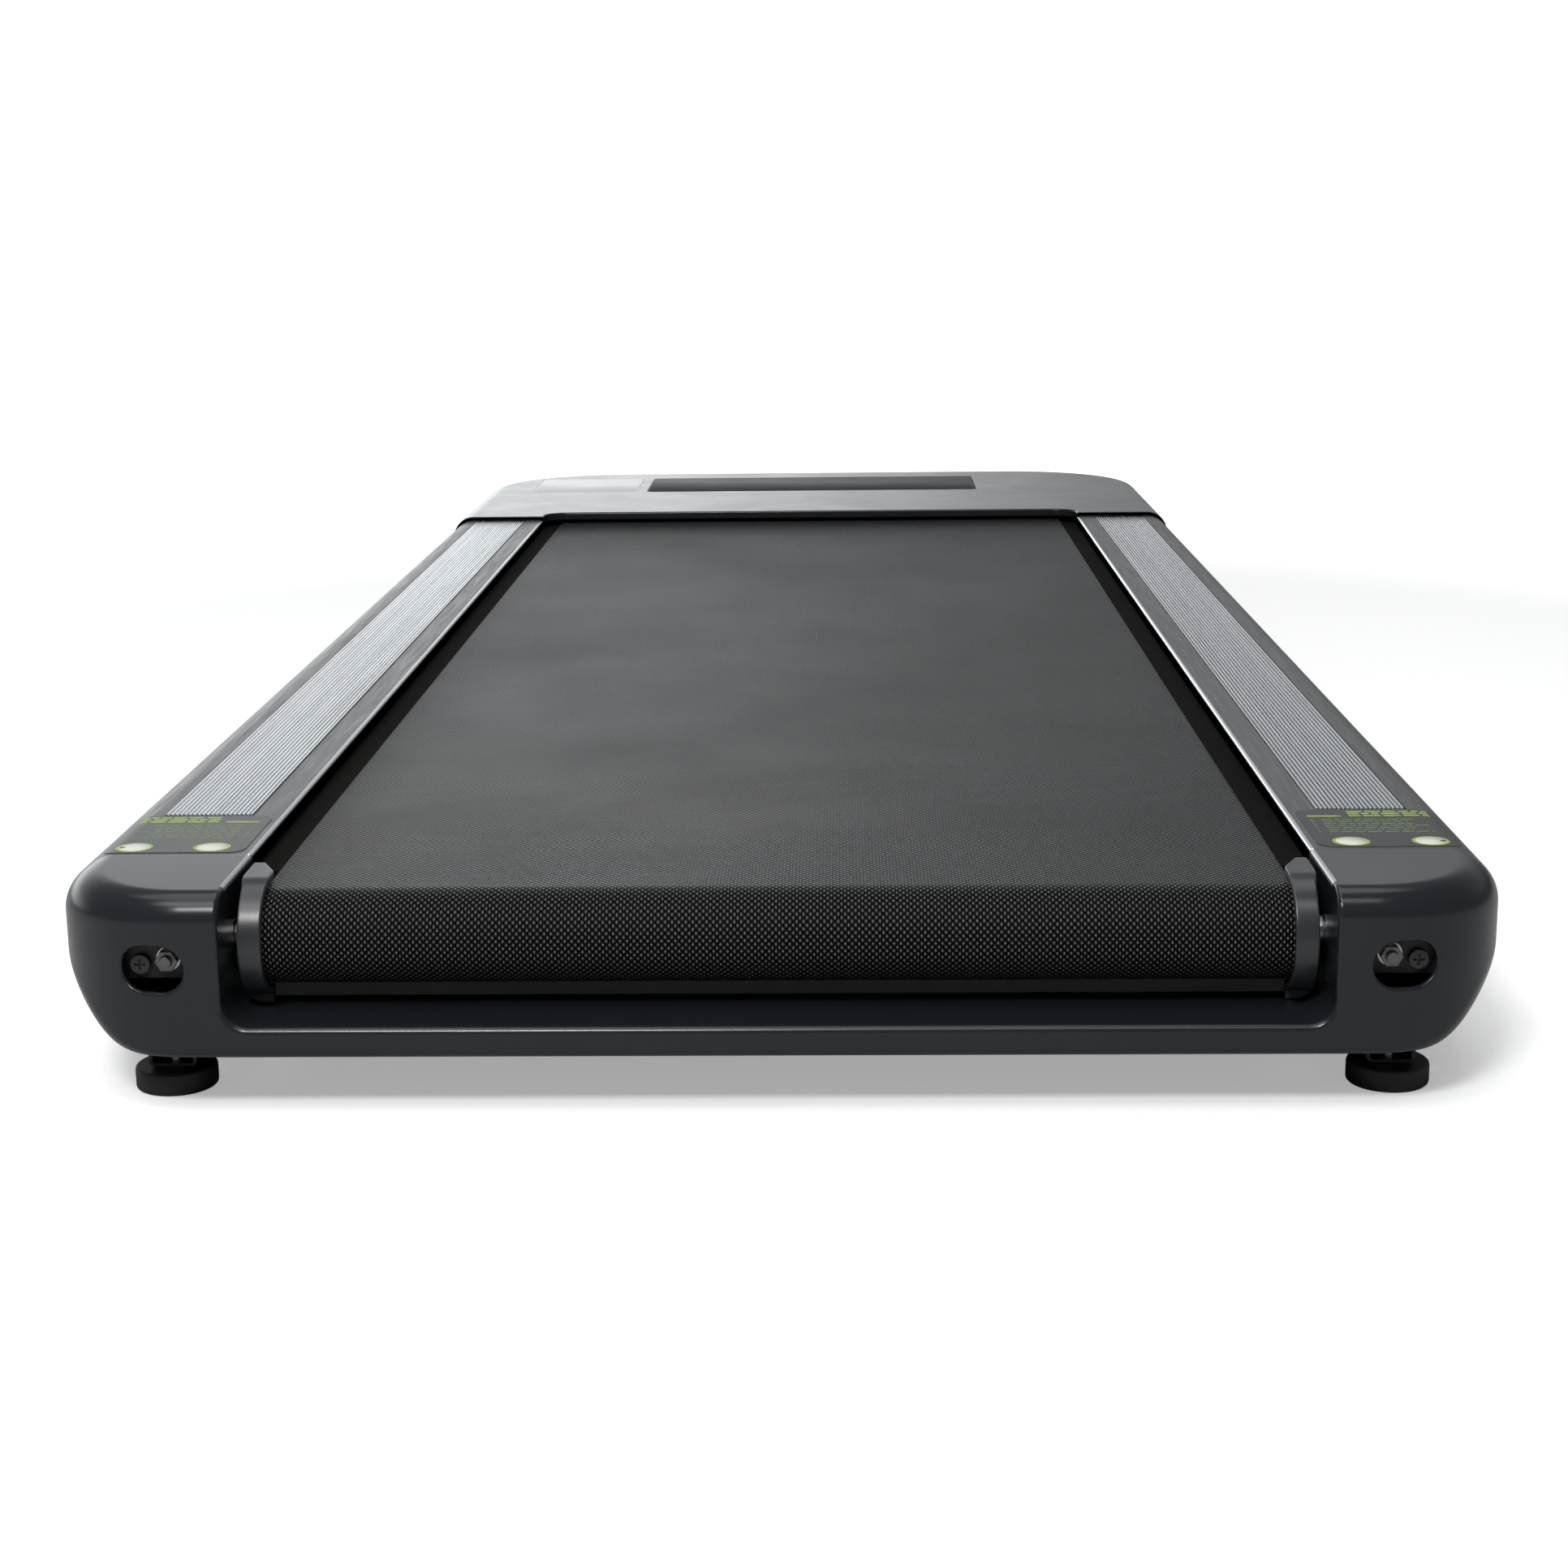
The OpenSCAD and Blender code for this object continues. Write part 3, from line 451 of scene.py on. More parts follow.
def film_finish(name, color, rough):
    n = Nodes(name)
    fine = n.noise(4200, 2.0, 0.7)
    blotch = n.noise(30, 3.0, 0.5)
    n.set(
        Base_Color=n.mix(n.math("MULTIPLY", fine, blotch), tinted(color, 0.8), tinted(color, 1.25)),
        Roughness=n.ramp(fine, 0.3, 0.7, rough - 0.06, rough + 0.06),
        Normal=n.bump(fine, 0.00003),
    )
    return n.material


finishes = {
    "frame_paint": plain("frame_paint", (0.022, 0.023, 0.025), 0.42, grain=1400, grain_depth=0.00004, edges=0.0008),
    "zinc_steel": brushed("zinc_steel", (0.62, 0.63, 0.61), 0.3, (1, 1, 0.15), 500, edges=0.0005, spread=0.2),
    "black_zinc": brushed("black_zinc", (0.022, 0.022, 0.024), 0.4, (1, 1, 0.15), 500, edges=0.0005, metallic=0.4),
    "dark_bolt": brushed("dark_bolt", (0.16, 0.16, 0.165), 0.28, (1, 1, 0.15), 500, edges=0.0006, spread=0.2),
    "screw_steel": brushed("screw_steel", (0.58, 0.58, 0.57), 0.28, (1, 1, 0.3), 1600, edges=0.0003, spread=0.2),
    "black_screw": plain("black_screw", (0.05, 0.05, 0.055), 0.35, 0.6, edges=0.0003),
    "deck_wood": plain("deck_wood", (0.006, 0.0055, 0.005), 0.8, grain=260, grain_depth=0.00005, stretch=(1, 0.05, 1),
                       specular=0.04, spread=0.3),
    "foot_rubber": plain("foot_rubber", (0.010, 0.010, 0.011), 0.6, grain=1800, grain_depth=0.00008, spread=0.25),
    "belt_rubber": belt_finish(),
    "roller_steel": brushed("roller_steel", (0.55, 0.55, 0.56), 0.3, (4, 0.2, 0.2), 500, edges=0.0005),
    "bearing_steel": brushed("bearing_steel", (0.6, 0.6, 0.6), 0.22, (1, 1, 1), 900, edges=0.0004),
    "cover_plastic": plain("cover_plastic", (0.0125, 0.015, 0.0185), 0.21, grain=3200, grain_depth=0.000012,
                           rough_spread=0.04, specular=0.42),
    "guard_plastic": plain("guard_plastic", (0.024, 0.026, 0.029), 0.3, spread=0.2, rough_spread=0.07,
                           specular=0.6),
    "rail_aluminium": brushed("rail_aluminium", (0.075, 0.078, 0.08), 0.34, (1, 0.03, 1), 700, depth=0.000006,
                              metallic=0.2),
    # Bright, metal-like finish for the cover's inner top edge: a painted highlight on the plastic
    "painted_edge_highlight": brushed("painted_edge_highlight", (0.5, 0.52, 0.54), 0.24, (1, 0.02, 1), 900, depth=0.000004, metallic=0.7),
    "groove_dark": plain("groove_dark", (0.02, 0.021, 0.022), 0.5, specular=0.2),
    "polished_edge": brushed("polished_edge", (0.72, 0.73, 0.75), 0.2, (1, 0.02, 1), 900, depth=0.000004),
    "tread_aluminium": brushed("tread_aluminium", (0.78, 0.79, 0.81), 0.2, (1, 0.01, 1), 350, depth=0.000001,
                               spread=0.05),
    "label_film": film_finish("label_film", (0.030, 0.033, 0.034), 0.36),
    "print_green": film_finish("print_green", (0.34, 0.50, 0.05), 0.5),
    "print_dim": film_finish("print_dim", (0.17, 0.25, 0.07), 0.5),
    "print_pale": film_finish("print_pale", (0.74, 0.78, 0.68), 0.5),
    "pulley_aluminium": brushed("pulley_aluminium", (0.6, 0.6, 0.61), 0.3, (4, 0.3, 0.3), 700, edges=0.0003),
    "drive_belt_rubber": plain("drive_belt_rubber", (0.02, 0.02, 0.02), 0.6, spread=0.3, edges=0.0004),
    "motor_paint": plain("motor_paint", (0.05, 0.05, 0.055), 0.35, edges=0.0012),
    "magnet_iron": plain("magnet_iron", (0.2, 0.2, 0.2), 0.5, 0.6),
    "rotor_iron": brushed("rotor_iron", (0.35, 0.22, 0.13), 0.4, (6, 0.3, 0.3), 800),
    "black_plastic": plain("black_plastic", (0.028, 0.028, 0.030), 0.45, grain=1600, grain_depth=0.00005,
                           edges=0.0006, spread=0.2),
    "display_black": plain("display_black", (0.010, 0.010, 0.012), 0.42, grain=900, grain_depth=0.000001,
                           rough_spread=0.04, specular=0.12),
    "board_green": plain("board_green", (0.03, 0.16, 0.06), 0.4, spread=0.3, edges=0.0003),
    "info_film": film_finish("info_film", (0.84, 0.86, 0.87), 0.3),
    "switch_red": plain("switch_red", (0.4, 0.02, 0.02), 0.25, edges=0.0005),
    "wheel_plastic": plain("wheel_plastic", (0.035, 0.035, 0.037), 0.45, grain=1500, grain_depth=0.00005),
}
# Nodes whose shade differs from the rest of their slot
shade_of = {"tension_bolt_left": "dark_bolt", "tension_bolt_right": "dark_bolt",
            "tension_bracket_left": "black_zinc", "tension_bracket_right": "black_zinc",
            "axle_block_left": "black_zinc", "axle_block_right": "black_zinc"}
for name, obj in cad_nodes.items():
    obj.data.materials.clear()
    obj.data.materials.append(finishes[shade_of.get(name, node_slot[name])])


# ---- Rear cover ----

# The obround service slots
SLOT_X, SLOT_Z, SLOT_HALF_RUN, SLOT_R = 250, 61.5, 3.5, 9.5


def cover_form(x, y, z):
    """Solid outer form of the rear cover with the bay between its two caps cut out."""
    ax = np.abs(x)
    plan, side = outline(ax, -y, HALF, -REAR, 60)
    top_r = 12 + 5 * side
    low_r = 4 + 32 * soft_step(side, 0.0, 1.0)
    form = both(both(plan, z - DECK, top_r), UNDER - z, low_r)
    bay = both(ax - INNER, BUMPER_TOP - z, 10)
    edge = 1.7 + 1.0 * (1 - soft_step(z, 44, 56))
    return less(form, bay, edge)


def cover_field(x, y, z):
    """The rear cover's shell, with room for the frame tubes and the axle and with its service slots."""
    ax = np.abs(x)
    form = cover_form(x, y, z)
    shell = np.maximum(form, -(form + WALL))
    shell = less(shell, block(x, y, z, (-INNER, BUMPER_BACK, -10), (INNER, 0, BUMPER_TOP + 20)), 0.6)
    shell = less(shell, block(ax, y, z, (240.5, REAR + 30.5, -10), (TUBE_SIDE, 0, UNDER + 16)), 0.8)
    u, v = ax - SLOT_X, z - SLOT_Z
    slot = np.hypot(np.maximum(np.abs(u) - SLOT_HALF_RUN, 0), v) - SLOT_R
    shell = less(shell, np.maximum(slot, y - (REAR + 10)), 1.2)
    axle_way = block(ax, y, z, (INNER - 4, AXIS_Y - 8, AXIS_Z - 7.5), (INNER + 4, 0, AXIS_Z + 7.5))
    return both(less(shell, axle_way, 0.5), y - (SEAM - 0.2), 0.4)


cover_x = lattice(-HALF - 1.5, HALF + 1.5, 9, (-HALF - 1.5, -205, 1.1), (205, HALF + 1.5, 1.1))
cover_y = lattice(REAR - 1.5, SEAM + 1.5, 1.1, at(SEAM - 0.2))
cover_z = lattice(UNDER - 1.5, DECK + 1.5, 1.1)
points, faces, normals = skin(cover_field, cover_x, cover_y, cover_z)
rear = piece("rear_cover.body", points, faces, finishes["cover_plastic"], "chassis", "cover_plastic",
             ["rear_cover"], normals)
# The faces along the caps' inner top edge get the bright finish: a painted highlight
rear.data.materials.append(finishes["painted_edge_highlight"])
for face in rear.data.polygons:
    across, run, height = face.center / MM
    if abs(across) < INNER + 1.6 and height > DECK - 2.2 and run > REAR + 16:
        face.material_index = 1


# ---- Side rails, tread strips and labels ----


def rail_field(x, y, z):
    """The right rail: a hollow extrusion with a shelf on the frame tube and a recess for the tread strip."""
    side, top, low = x - HALF, z - DECK, UNDER - z
    outer = both(both(side, top, RAIL_TOP_R), low, 36)
    section = both(outer, INNER - x, 1.5)
    inner = both(outer, INNER - x, 0.2) + RAIL_WALL
    wall = np.maximum(section, -inner)
    wall = less(wall, np.maximum(x - TUBE_SIDE, z - TUBE_ROOF), 0.3)
    wall = less(wall, np.maximum(x - (INNER + 3.6), z - 85), 0.3)
    shelf = np.maximum(between(x, 243, 296.5), between(z, TUBE_ROOF, 56.7))
    wall = either(wall, shelf, 0.4)
    recess = np.maximum(between(x, *recess_x), recess_y - y)
    recess = np.maximum(recess, (DECK - 1) - z)
    wall = less(wall, recess, 0.12)
    return both(wall, between(y, SEAM + 0.2, HOOD_REAR - 0.1), 0.3)


recess_x = (strip_low[0] - SEAT_GAP, strip_high[0] + SEAT_GAP)
recess_y = strip_low[1] - SEAT_GAP
rail_x = lattice(INNER - 1, HALF + 1, 1.0, at(recess_x[0]), at(recess_x[1]), (INNER - 1, INNER + 3, 0.5))
rail_y = lattice(SEAM - 1, HOOD_REAR + 1, 40, at(SEAM + 0.2), at(HOOD_REAR - 0.1), at(recess_y))
rail_z = lattice(UNDER - 1, DECK + 1, 1.0, (DECK - 3, DECK + 1, 0.4))
for obj in pair("side_rail", skin(rail_field, rail_x, rail_y, rail_z), finishes["rail_aluminium"], "rail_aluminium"):
    obj.data.materials.append(finishes["polished_edge"])
    for face in obj.data.polygons:
        across, _, height = face.center / MM
        if abs(across) < INNER + 1.5 and height > DECK - 1.6:
            face.material_index = 1

# Ribs with round crests: each point's place as a share of the pitch, and its rise as a share of the height
CREST = ((-0.32, 0), (-0.27, 0.55), (-0.21, 0.9), (-0.12, 1), (0.12, 1), (0.21, 0.9), (0.27, 0.55), (0.32, 0))
RIBS = 20
rib_pitch = (strip_high[0] - strip_low[0]) / RIBS
rib_base, rib_top = strip_low[2] + 0.6, strip_high[2]
section = [(strip_low[0], strip_low[2]), (strip_low[0], rib_base)]
for i in range(RIBS):
    middle = strip_low[0] + (i + 0.5) * rib_pitch
    for part, rise in CREST:
        section.append((middle + part * rib_pitch, rib_base + rise * (rib_top - rib_base)))
section += [(strip_high[0], rib_base), (strip_high[0], strip_low[2])]
section = np.array(section)


def along_y(y):
    return lambda s: np.column_stack([s[:, 0], np.full(len(s), y), s[:, 1]])


ends = (strip_low[1], strip_low[1] + 0.5, strip_high[1] - 0.5, strip_high[1])
strip_shape = sweep(section, [along_y(y) for y in ends])
for obj in pair("tread_strip", strip_shape, finishes["tread_aluminium"], "tread_aluminium"):
    crisp(obj, 40)
    obj.data.materials.append(finishes["groove_dark"])
    for face in obj.data.polygons:
        if abs(face.normal.z) > 0.9 and face.center.z < (rib_base + 0.01) * MM:
            face.material_index = 1


def rail_top(x):
    """Height of the rail's top surface at x."""
    past = np.maximum(np.asarray(x, float) - (HALF - RAIL_TOP_R), 0)
    return DECK - RAIL_TOP_R + np.sqrt(RAIL_TOP_R**2 - past**2)


def film(x0, x1, y0, y1, r, thickness):
    """Thin sheet on the rail's top with round corners of radius r."""
    bend = r * (1 - np.cos(np.linspace(0, np.pi / 2, 9)))
    xs = np.unique(np.concatenate([np.linspace(x0, x1, 48), x0 + bend, x1 - bend]))
    cut = np.maximum(np.maximum(x0 + r - xs, xs - (x1 - r)), 0)
    inset = r - np.sqrt(np.maximum(r * r - cut * cut, 0))
    n = len(xs)
    low, high = rail_top(xs), rail_top(xs) + thickness
    rows = [(y0 + inset, low), (y0 + inset, high), (y1 - inset, high), (y1 - inset, low)]
    points = np.concatenate([np.column_stack([xs, y, z]) for y, z in rows])
    faces = []
    for a, b in ((0, 1), (1, 2), (2, 3), (3, 0)):
        for i in range(n - 1):
            faces.append([a * n + i, a * n + i + 1, b * n + i + 1, b * n + i])
    faces.append([0, n, 2 * n, 3 * n])
    faces.append([n - 1, 4 * n - 1, 3 * n - 1, 2 * n - 1])
    return points, faces


label_shape = film(label_low[0], label_high[0], label_low[1], label_high[1], 7, FILM)
for obj in pair("rail_label", label_shape, finishes["label_film"], "label_film"):
    crisp(obj, 40)


def print_on_label(x, y):
    """Points just above the label film."""
    return np.column_stack([x, y, rail_top(x) + FILM + 0.02])


def bar(x0, x1, y0, y1):
    """Short printed bar that follows the rail's curve."""
    xs = np.linspace(x0, x1, 6)
    points = np.concatenate([print_on_label(xs, np.full(6, y0)), print_on_label(xs, np.full(6, y1))])
    return points, [[i, i + 1, i + 7, i + 6] for i in range(5)]


def disc(cx, cy, rx, ry, hole=0.0, steps=40):
    """Printed oval, or a ring if hole, its inner edge as a share of the outer, isn't 0."""
    turn = np.linspace(0, 2 * np.pi, steps, endpoint=False)
    rings = [print_on_label(cx + k * rx * np.cos(turn), cy + k * ry * np.sin(turn)) for k in (hole or 0.1, 1.0)]
    faces = [[i, i + steps, (i + 1) % steps + steps, (i + 1) % steps] for i in range(steps)]
    return np.concatenate(rings), faces + ([] if hole else [list(range(steps))])


def thickened(points, faces, depth=0.06):
    """Closed slab from an open sheet: the sheet, its copy below, and walls round the rim."""
    n = len(points)
    edges = {(f[i], f[(i + 1) % len(f)]) for f in faces for i in range(len(f))}
    walls = [[a, n + a, n + b, b] for a, b in sorted(edges) if (b, a) not in edges]
    below = [[n + i for i in f[::-1]] for f in faces]
    return np.concatenate([points, points - [0, 0, depth]]), faces + below + walls


def gathered(shapes):
    """One mesh from many open sheets, each closed first."""
    points, faces, start = [], [], 0
    for p, f in (thickened(*shape) for shape in shapes):
        faces += [[i + start for i in q] for q in f]
        points.append(p)
        start += len(p)
    return np.concatenate(points), faces


# A bright heading in three rows of blocks, seven dim rows of shorter bars, and two blank discs with a rim
HEADING_ROWS, HEADING_START, HEADING_END, HEADING_TALL = (-626.5, -630.2, -633.9), 249.5, 285, 2.3
ROWS, ROW_TOP, ROW_PITCH, ROW_START, ROW_TALL = 7, -640.5, 3.6, 236.0, 1.2
DISC_Y, DISC_XS = -678, (242.0, 275.5)
marks = np.random.default_rng(5)
tint_shapes = [bar(231, 246, -634.5, -632.2)]
for y in HEADING_ROWS:
    x = HEADING_START
    while x < HEADING_END - 1:
        w = min(marks.uniform(3.0, 8.0), HEADING_END - x)
        tint_shapes.append(bar(x, x + w, y, y + HEADING_TALL))
        x += w + 1.1
row_shapes = []
for row in range(ROWS):
    y = ROW_TOP - ROW_PITCH * row
    x = ROW_START
    row_shapes.append(bar(231.2, 232.6, y, y + 1.3))
    limit = marks.uniform(270, 284)
    while x < limit:
        w = marks.uniform(2.0, 6.5)
        row_shapes.append(bar(x, min(x + w, limit), y, y + ROW_TALL))
        x += w + 0.9
rims = [disc(x, DISC_Y, 8.0, 7.6, 0.84) for x in DISC_XS]
discs = [disc(x, DISC_Y, 6.7, 6.4) for x in DISC_XS]
for name, shapes, finish in (
    ("rail_label.tint", tint_shapes + rims, "print_green"),
    ("rail_label.rows", row_shapes, "print_dim"),
    ("rail_label.pale", discs, "print_pale"),
):
    shape = gathered(shapes)
    for suffix, (points, faces) in (("right", shape), ("left", mirrored(*shape)[:2])):
        piece(name + "_" + suffix, points, faces, finishes[finish], "chassis", "label_film")


# ---- Roller guards ----


GUARD_R, GUARD_HALF = 23, 1.5


def guard_field(x, y, z):
    """The right guard: a strip bent round the roller's rear half, flat above it, on a short foot."""
    inner, outer, tip = guard_low[0], guard_high[0], guard_high[1]
    down = np.hypot(y - AXIS_Y, z - AXIS_Z)
    flat = np.abs(z - (AXIS_Z + GUARD_R)) - GUARD_HALF
    ring = np.where(y < AXIS_Y, np.abs(down - GUARD_R) - GUARD_HALF, flat)
    past_end = np.hypot(y - AXIS_Y, np.maximum(np.abs(z - (AXIS_Z - GUARD_R)) - GUARD_HALF, 0)) + 0.01
    ring = np.where((y > AXIS_Y) & (z < AXIS_Z), past_end, ring)
    foot = np.maximum(between(y, AXIS_Y - 4, AXIS_Y), between(z, BUMPER_TOP + 0.1, AXIS_Z - 21.5))
    strip = either(ring, foot, 1.0)
    left_edge = outer - 2 + 2 * soft_step(y, AXIS_Y - 14, AXIS_Y + 5)
    strip = both(strip, between(x, inner, left_edge), 0.8)
    bevel = ((inner - x) * 14.5 + (y - (AXIS_Y + 8.5)) * 6.8) / math.hypot(14.5, 6.8)
    strip = both(strip, bevel, 0.5)
    strip = both(strip, y - tip, 0.6)
    bay = both(x - INNER, BUMPER_TOP - z, 10.5)
    return np.maximum(strip, bay + 0.3)


guard_x = lattice(guard_low[0] - 1, guard_high[0] + 1, 0.6)
guard_y = lattice(guard_low[1] - 1, guard_high[1] + 1, 0.6)
guard_z = lattice(guard_low[2] - 1, guard_high[2] + 1, 0.6)
pair("roller_guard", skin(guard_field, guard_x, guard_y, guard_z), finishes["guard_plastic"], "guard_plastic")


# ---- Running belt ----

half_belt = belt_high[0]
wrap = (belt_high[2] - belt_low[2]) / 2
thick = 1.8
front_axis = belt_high[1] - wrap
arc = math.pi * wrap
run = front_axis - AXIS_Y
STEPS = 41
# Stations round the loop: (y, z) of the centre, the direction outward, and the length so far
loop = [(AXIS_Y + run * i / STEPS, AXIS_Z, 0.0, 1.0, run * i / STEPS) for i in range(STEPS)]
for i in range(STEPS):
    a = math.pi * i / (STEPS - 1)
    loop.append((front_axis, AXIS_Z, math.sin(a), math.cos(a), run + arc * i / (STEPS - 1)))
for i in range(1, STEPS):
    loop.append((front_axis - run * i / STEPS, AXIS_Z, 0.0, -1.0, run + arc + run * i / STEPS))
for i in range(STEPS):
    a = math.pi + math.pi * i / (STEPS - 1)
    loop.append((AXIS_Y, AXIS_Z, math.sin(a), math.cos(a), 2 * run + arc + arc * i / (STEPS - 1)))
# Section across the belt, with small rounded edges
belt_section = [(-half_belt, 0), (-half_belt, thick - 0.5), (-half_belt + 0.15, thick - 0.15)]
belt_section += [(-half_belt + 0.5, thick)]
belt_section += [(x, thick) for x in np.linspace(-half_belt + 4, half_belt - 4, 13)]
belt_section += [(half_belt - 0.5, thick), (half_belt - 0.15, thick - 0.15)]
belt_section += [(half_belt, thick - 0.5), (half_belt, 0)]
m, n = len(loop), len(belt_section)
points = [
    (x, cy + (wrap - thick + t) * dy, cz + (wrap - thick + t) * dz)
    for cy, cz, dy, dz, _ in loop
    for x, t in belt_section
]
faces = [
    [k * n + i, k * n + (i + 1) % n, ((k + 1) % m) * n + (i + 1) % n, ((k + 1) % m) * n + i]
    for k in range(m)
    for i in range(n)
]
belt = piece("running_belt.body", points, faces, finishes["belt_rubber"], "chassis", "belt_rubber",
             ["running_belt"])
uv = belt.data.uv_layers.new(name="run")
total = 2 * run + 2 * arc
for poly in belt.data.polygons:
    k = poly.index // n
    for corner in poly.loop_indices:
        vertex = belt.data.loops[corner].vertex_index
        s = loop[vertex // n][4]
        if k == m - 1 and vertex // n == 0:
            s += total
        uv.data[corner].uv = (belt_section[vertex % n][0] * MM, s * MM)
crisp(belt, 40)


# ---- Front hood ----


def rounded(x, y, low, high, r):
    """Plan distance to a rectangle with corners of radius r."""
    u = np.abs(x - (low[0] + high[0]) / 2) - (high[0] - low[0]) / 2 + r
    v = np.abs(y - (low[1] + high[1]) / 2) - (high[1] - low[1]) / 2 + r
    return np.hypot(np.maximum(u, 0), np.maximum(v, 0)) + np.minimum(np.maximum(u, v), 0) - r


# Holes in the hood's front face, (x, z) corners, cut back to FACE_BACK
FACE_BACK = 744
WINDOW_R, INFO_R = 6, 5
INLET_HOLE = ((-148.5, 49.5), (-121.5, 69.5))
SWITCH_HOLE = ((-107.5, 53), (-88.5, 66))
BUTTON_X, BUTTON_Z, BUTTON_R = -74, 59.5, 3.4


def hood_field(x, y, z):
    """The hood's shell with its lip over the belt, plate recesses, front holes and wheel wells."""
    ax = np.abs(x)
    plan, side = outline(ax, y, HALF, HOOD_FRONT, 120)
    form = both(both(plan, z - HOOD_TOP, 22 - 5 * side), UNDER - z, 22 + 14 * side)
    shell = np.maximum(form, -(form + WALL))
    mouth = both(ax - INNER, y - LIP, 18)
    lip = np.maximum(np.maximum(mouth - 3, between(z, 88.5, 98)), form)
    solid = np.maximum(either(shell, lip, 0.6), form)
    solid = less(solid, np.maximum(mouth, AXIS_Z - z), 1.3)
    solid = less(solid, block(ax, y, z, (-1, HOOD_REAR - 10, 0), (TUBE_SIDE, 687.5, 40)), 0.6)
    window = rounded(x, y, window_low - WINDOW_GAP, window_high + WINDOW_GAP, WINDOW_R + WINDOW_GAP)
    solid = less(solid, np.maximum(window, window_low[2] - z), 0.25)
    plate = rounded(x, y, info_low - SEAT_GAP, info_high + SEAT_GAP, INFO_R + SEAT_GAP)
    solid = less(solid, np.maximum(plate, info_low[2] - z), 0.1)
    for low, high in (INLET_HOLE, SWITCH_HOLE):
        solid = less(solid, block(x, y, z, (low[0], FACE_BACK, low[1]), (high[0], 760, high[1])), 0.4)
    button = np.hypot(x - BUTTON_X, z - BUTTON_Z) - BUTTON_R
    solid = less(solid, np.maximum(button, FACE_BACK - y), 0.3)
    solid = less(solid, block(ax, y, z, (184, 686.5, 0), (216, 745.5, 54)), 0.8)
    return both(solid, (HOOD_REAR + 0.1) - y, 0.5)


hood_x = lattice(
    -HALF - 2, HALF + 2, 6, (-HALF - 2, -150, 2.0), (150, HALF + 2, 2.0), (-229, -202, 1.5), (202, 229, 1.5),
    (-150, -70, 1.3), at(-window_high[0] - WINDOW_GAP), at(window_high[0] + WINDOW_GAP),
    at(info_low[0] - SEAT_GAP), at(info_high[0] + SEAT_GAP), (-165, -141, 0.9), (141, 149, 0.9), (-253, -246, 0.9),
)
hood_y = lattice(
    HOOD_REAR - 2, HOOD_FRONT + 2, 6, at(HOOD_REAR + 0.1), (LIP - 20, LIP + 5, 1.6), at(window_low[1] - WINDOW_GAP),
    at(window_high[1] + WINDOW_GAP), (625, HOOD_FRONT + 2, 1.8), at(687.5), (587, 595, 0.9), (687, 695, 0.9),
)
hood_z = lattice(UNDER - 2, HOOD_TOP + 2, 1.9, (86, HOOD_TOP + 2, 0.8), at(window_low[2]), at(info_low[2]))
points, faces, normals = skin(hood_field, hood_x, hood_y, hood_z)
piece("front_hood.body", points, faces, finishes["cover_plastic"], "chassis", "cover_plastic",
      ["front_hood"], normals)


def inset_plate(node, low, high, r, finish, edge=0.25):
    """Plate with round corners and a soft top edge."""
    turn = np.concatenate([np.linspace(q, q + 1, 9) for q in range(4)]) * np.pi / 2
    middle, half = (low + high) / 2, (high - low) / 2
    corner = np.repeat([[1, 1], [-1, 1], [-1, -1], [1, -1]], 9, axis=0)
    rings = []
    for inset, z in ((0, low[2]), (0, high[2] - edge), (0.3 * edge, high[2] - 0.3 * edge), (edge, high[2])):
        way = np.column_stack([np.cos(turn), np.sin(turn)])
        flat = middle[:2] + corner * (half[:2] - r) + way * (r - inset)
        rings.append(np.column_stack([flat, np.full(len(turn), z)]))
    n = len(turn)
    faces = [
        [k * n + i, k * n + (i + 1) % n, (k + 1) * n + (i + 1) % n, (k + 1) * n + i]
        for k in range(3)
        for i in range(n)
    ]
    faces += [list(range(n))[::-1], [3 * n + i for i in range(n)]]
    points = np.concatenate(rings)
    crisp(piece(node + ".body", points, faces, finishes[finish], "chassis", node_slot[node], [node]), 50)


inset_plate("display_window", window_low, window_high, WINDOW_R, "display_black")
inset_plate("info_plate", info_low, info_high, INFO_R, "info_film")


# ---- Feet ----

foot_top = extent("feet")[1][2]
foot_profile = [
    (3, 4), (6, 4), (6, 0.4), (6.4, 0), (14.2, 0), (14.6, 0.5), (15.2, 0.5), (15.6, 0), (16.2, 0.2),
    (16.8, 0.8), (17, 1.6), (17, foot_top - 1.6), (16.7, foot_top - 0.6), (16, foot_top), (3, foot_top),
]
FOOT_X, FOOT_YS = 252.5, (-718, 640)
foot_points, foot_faces = [], []
for x in (-FOOT_X, FOOT_X):
    for y in FOOT_YS:
        p, f = lathe(foot_profile, (x, y, 0), 2, 56)
        foot_faces += [[i + len(foot_points) for i in q] for q in f]
        foot_points += p
crisp(piece("feet.body", foot_points, foot_faces, finishes["foot_rubber"], "chassis", "foot_rubber", ["feet"]), 30)


# ---- Floor, light and camera ----


def sheet(name, outline_points, finish):
    """Flat or curved backdrop drawn from (y, z) stations."""
    mesh = bpy.data.meshes.new(name)
    mesh.from_pydata([(x, y, z) for y, z in outline_points for x in (-9.0, 9.0)], [],
                     [[2 * i, 2 * i + 1, 2 * i + 3, 2 * i + 2] for i in range(len(outline_points) - 1)])
    mesh.materials.append(finish)
    obj = bpy.data.objects.new(name, mesh)
    bpy.context.scene.collection.objects.link(obj)
    return obj
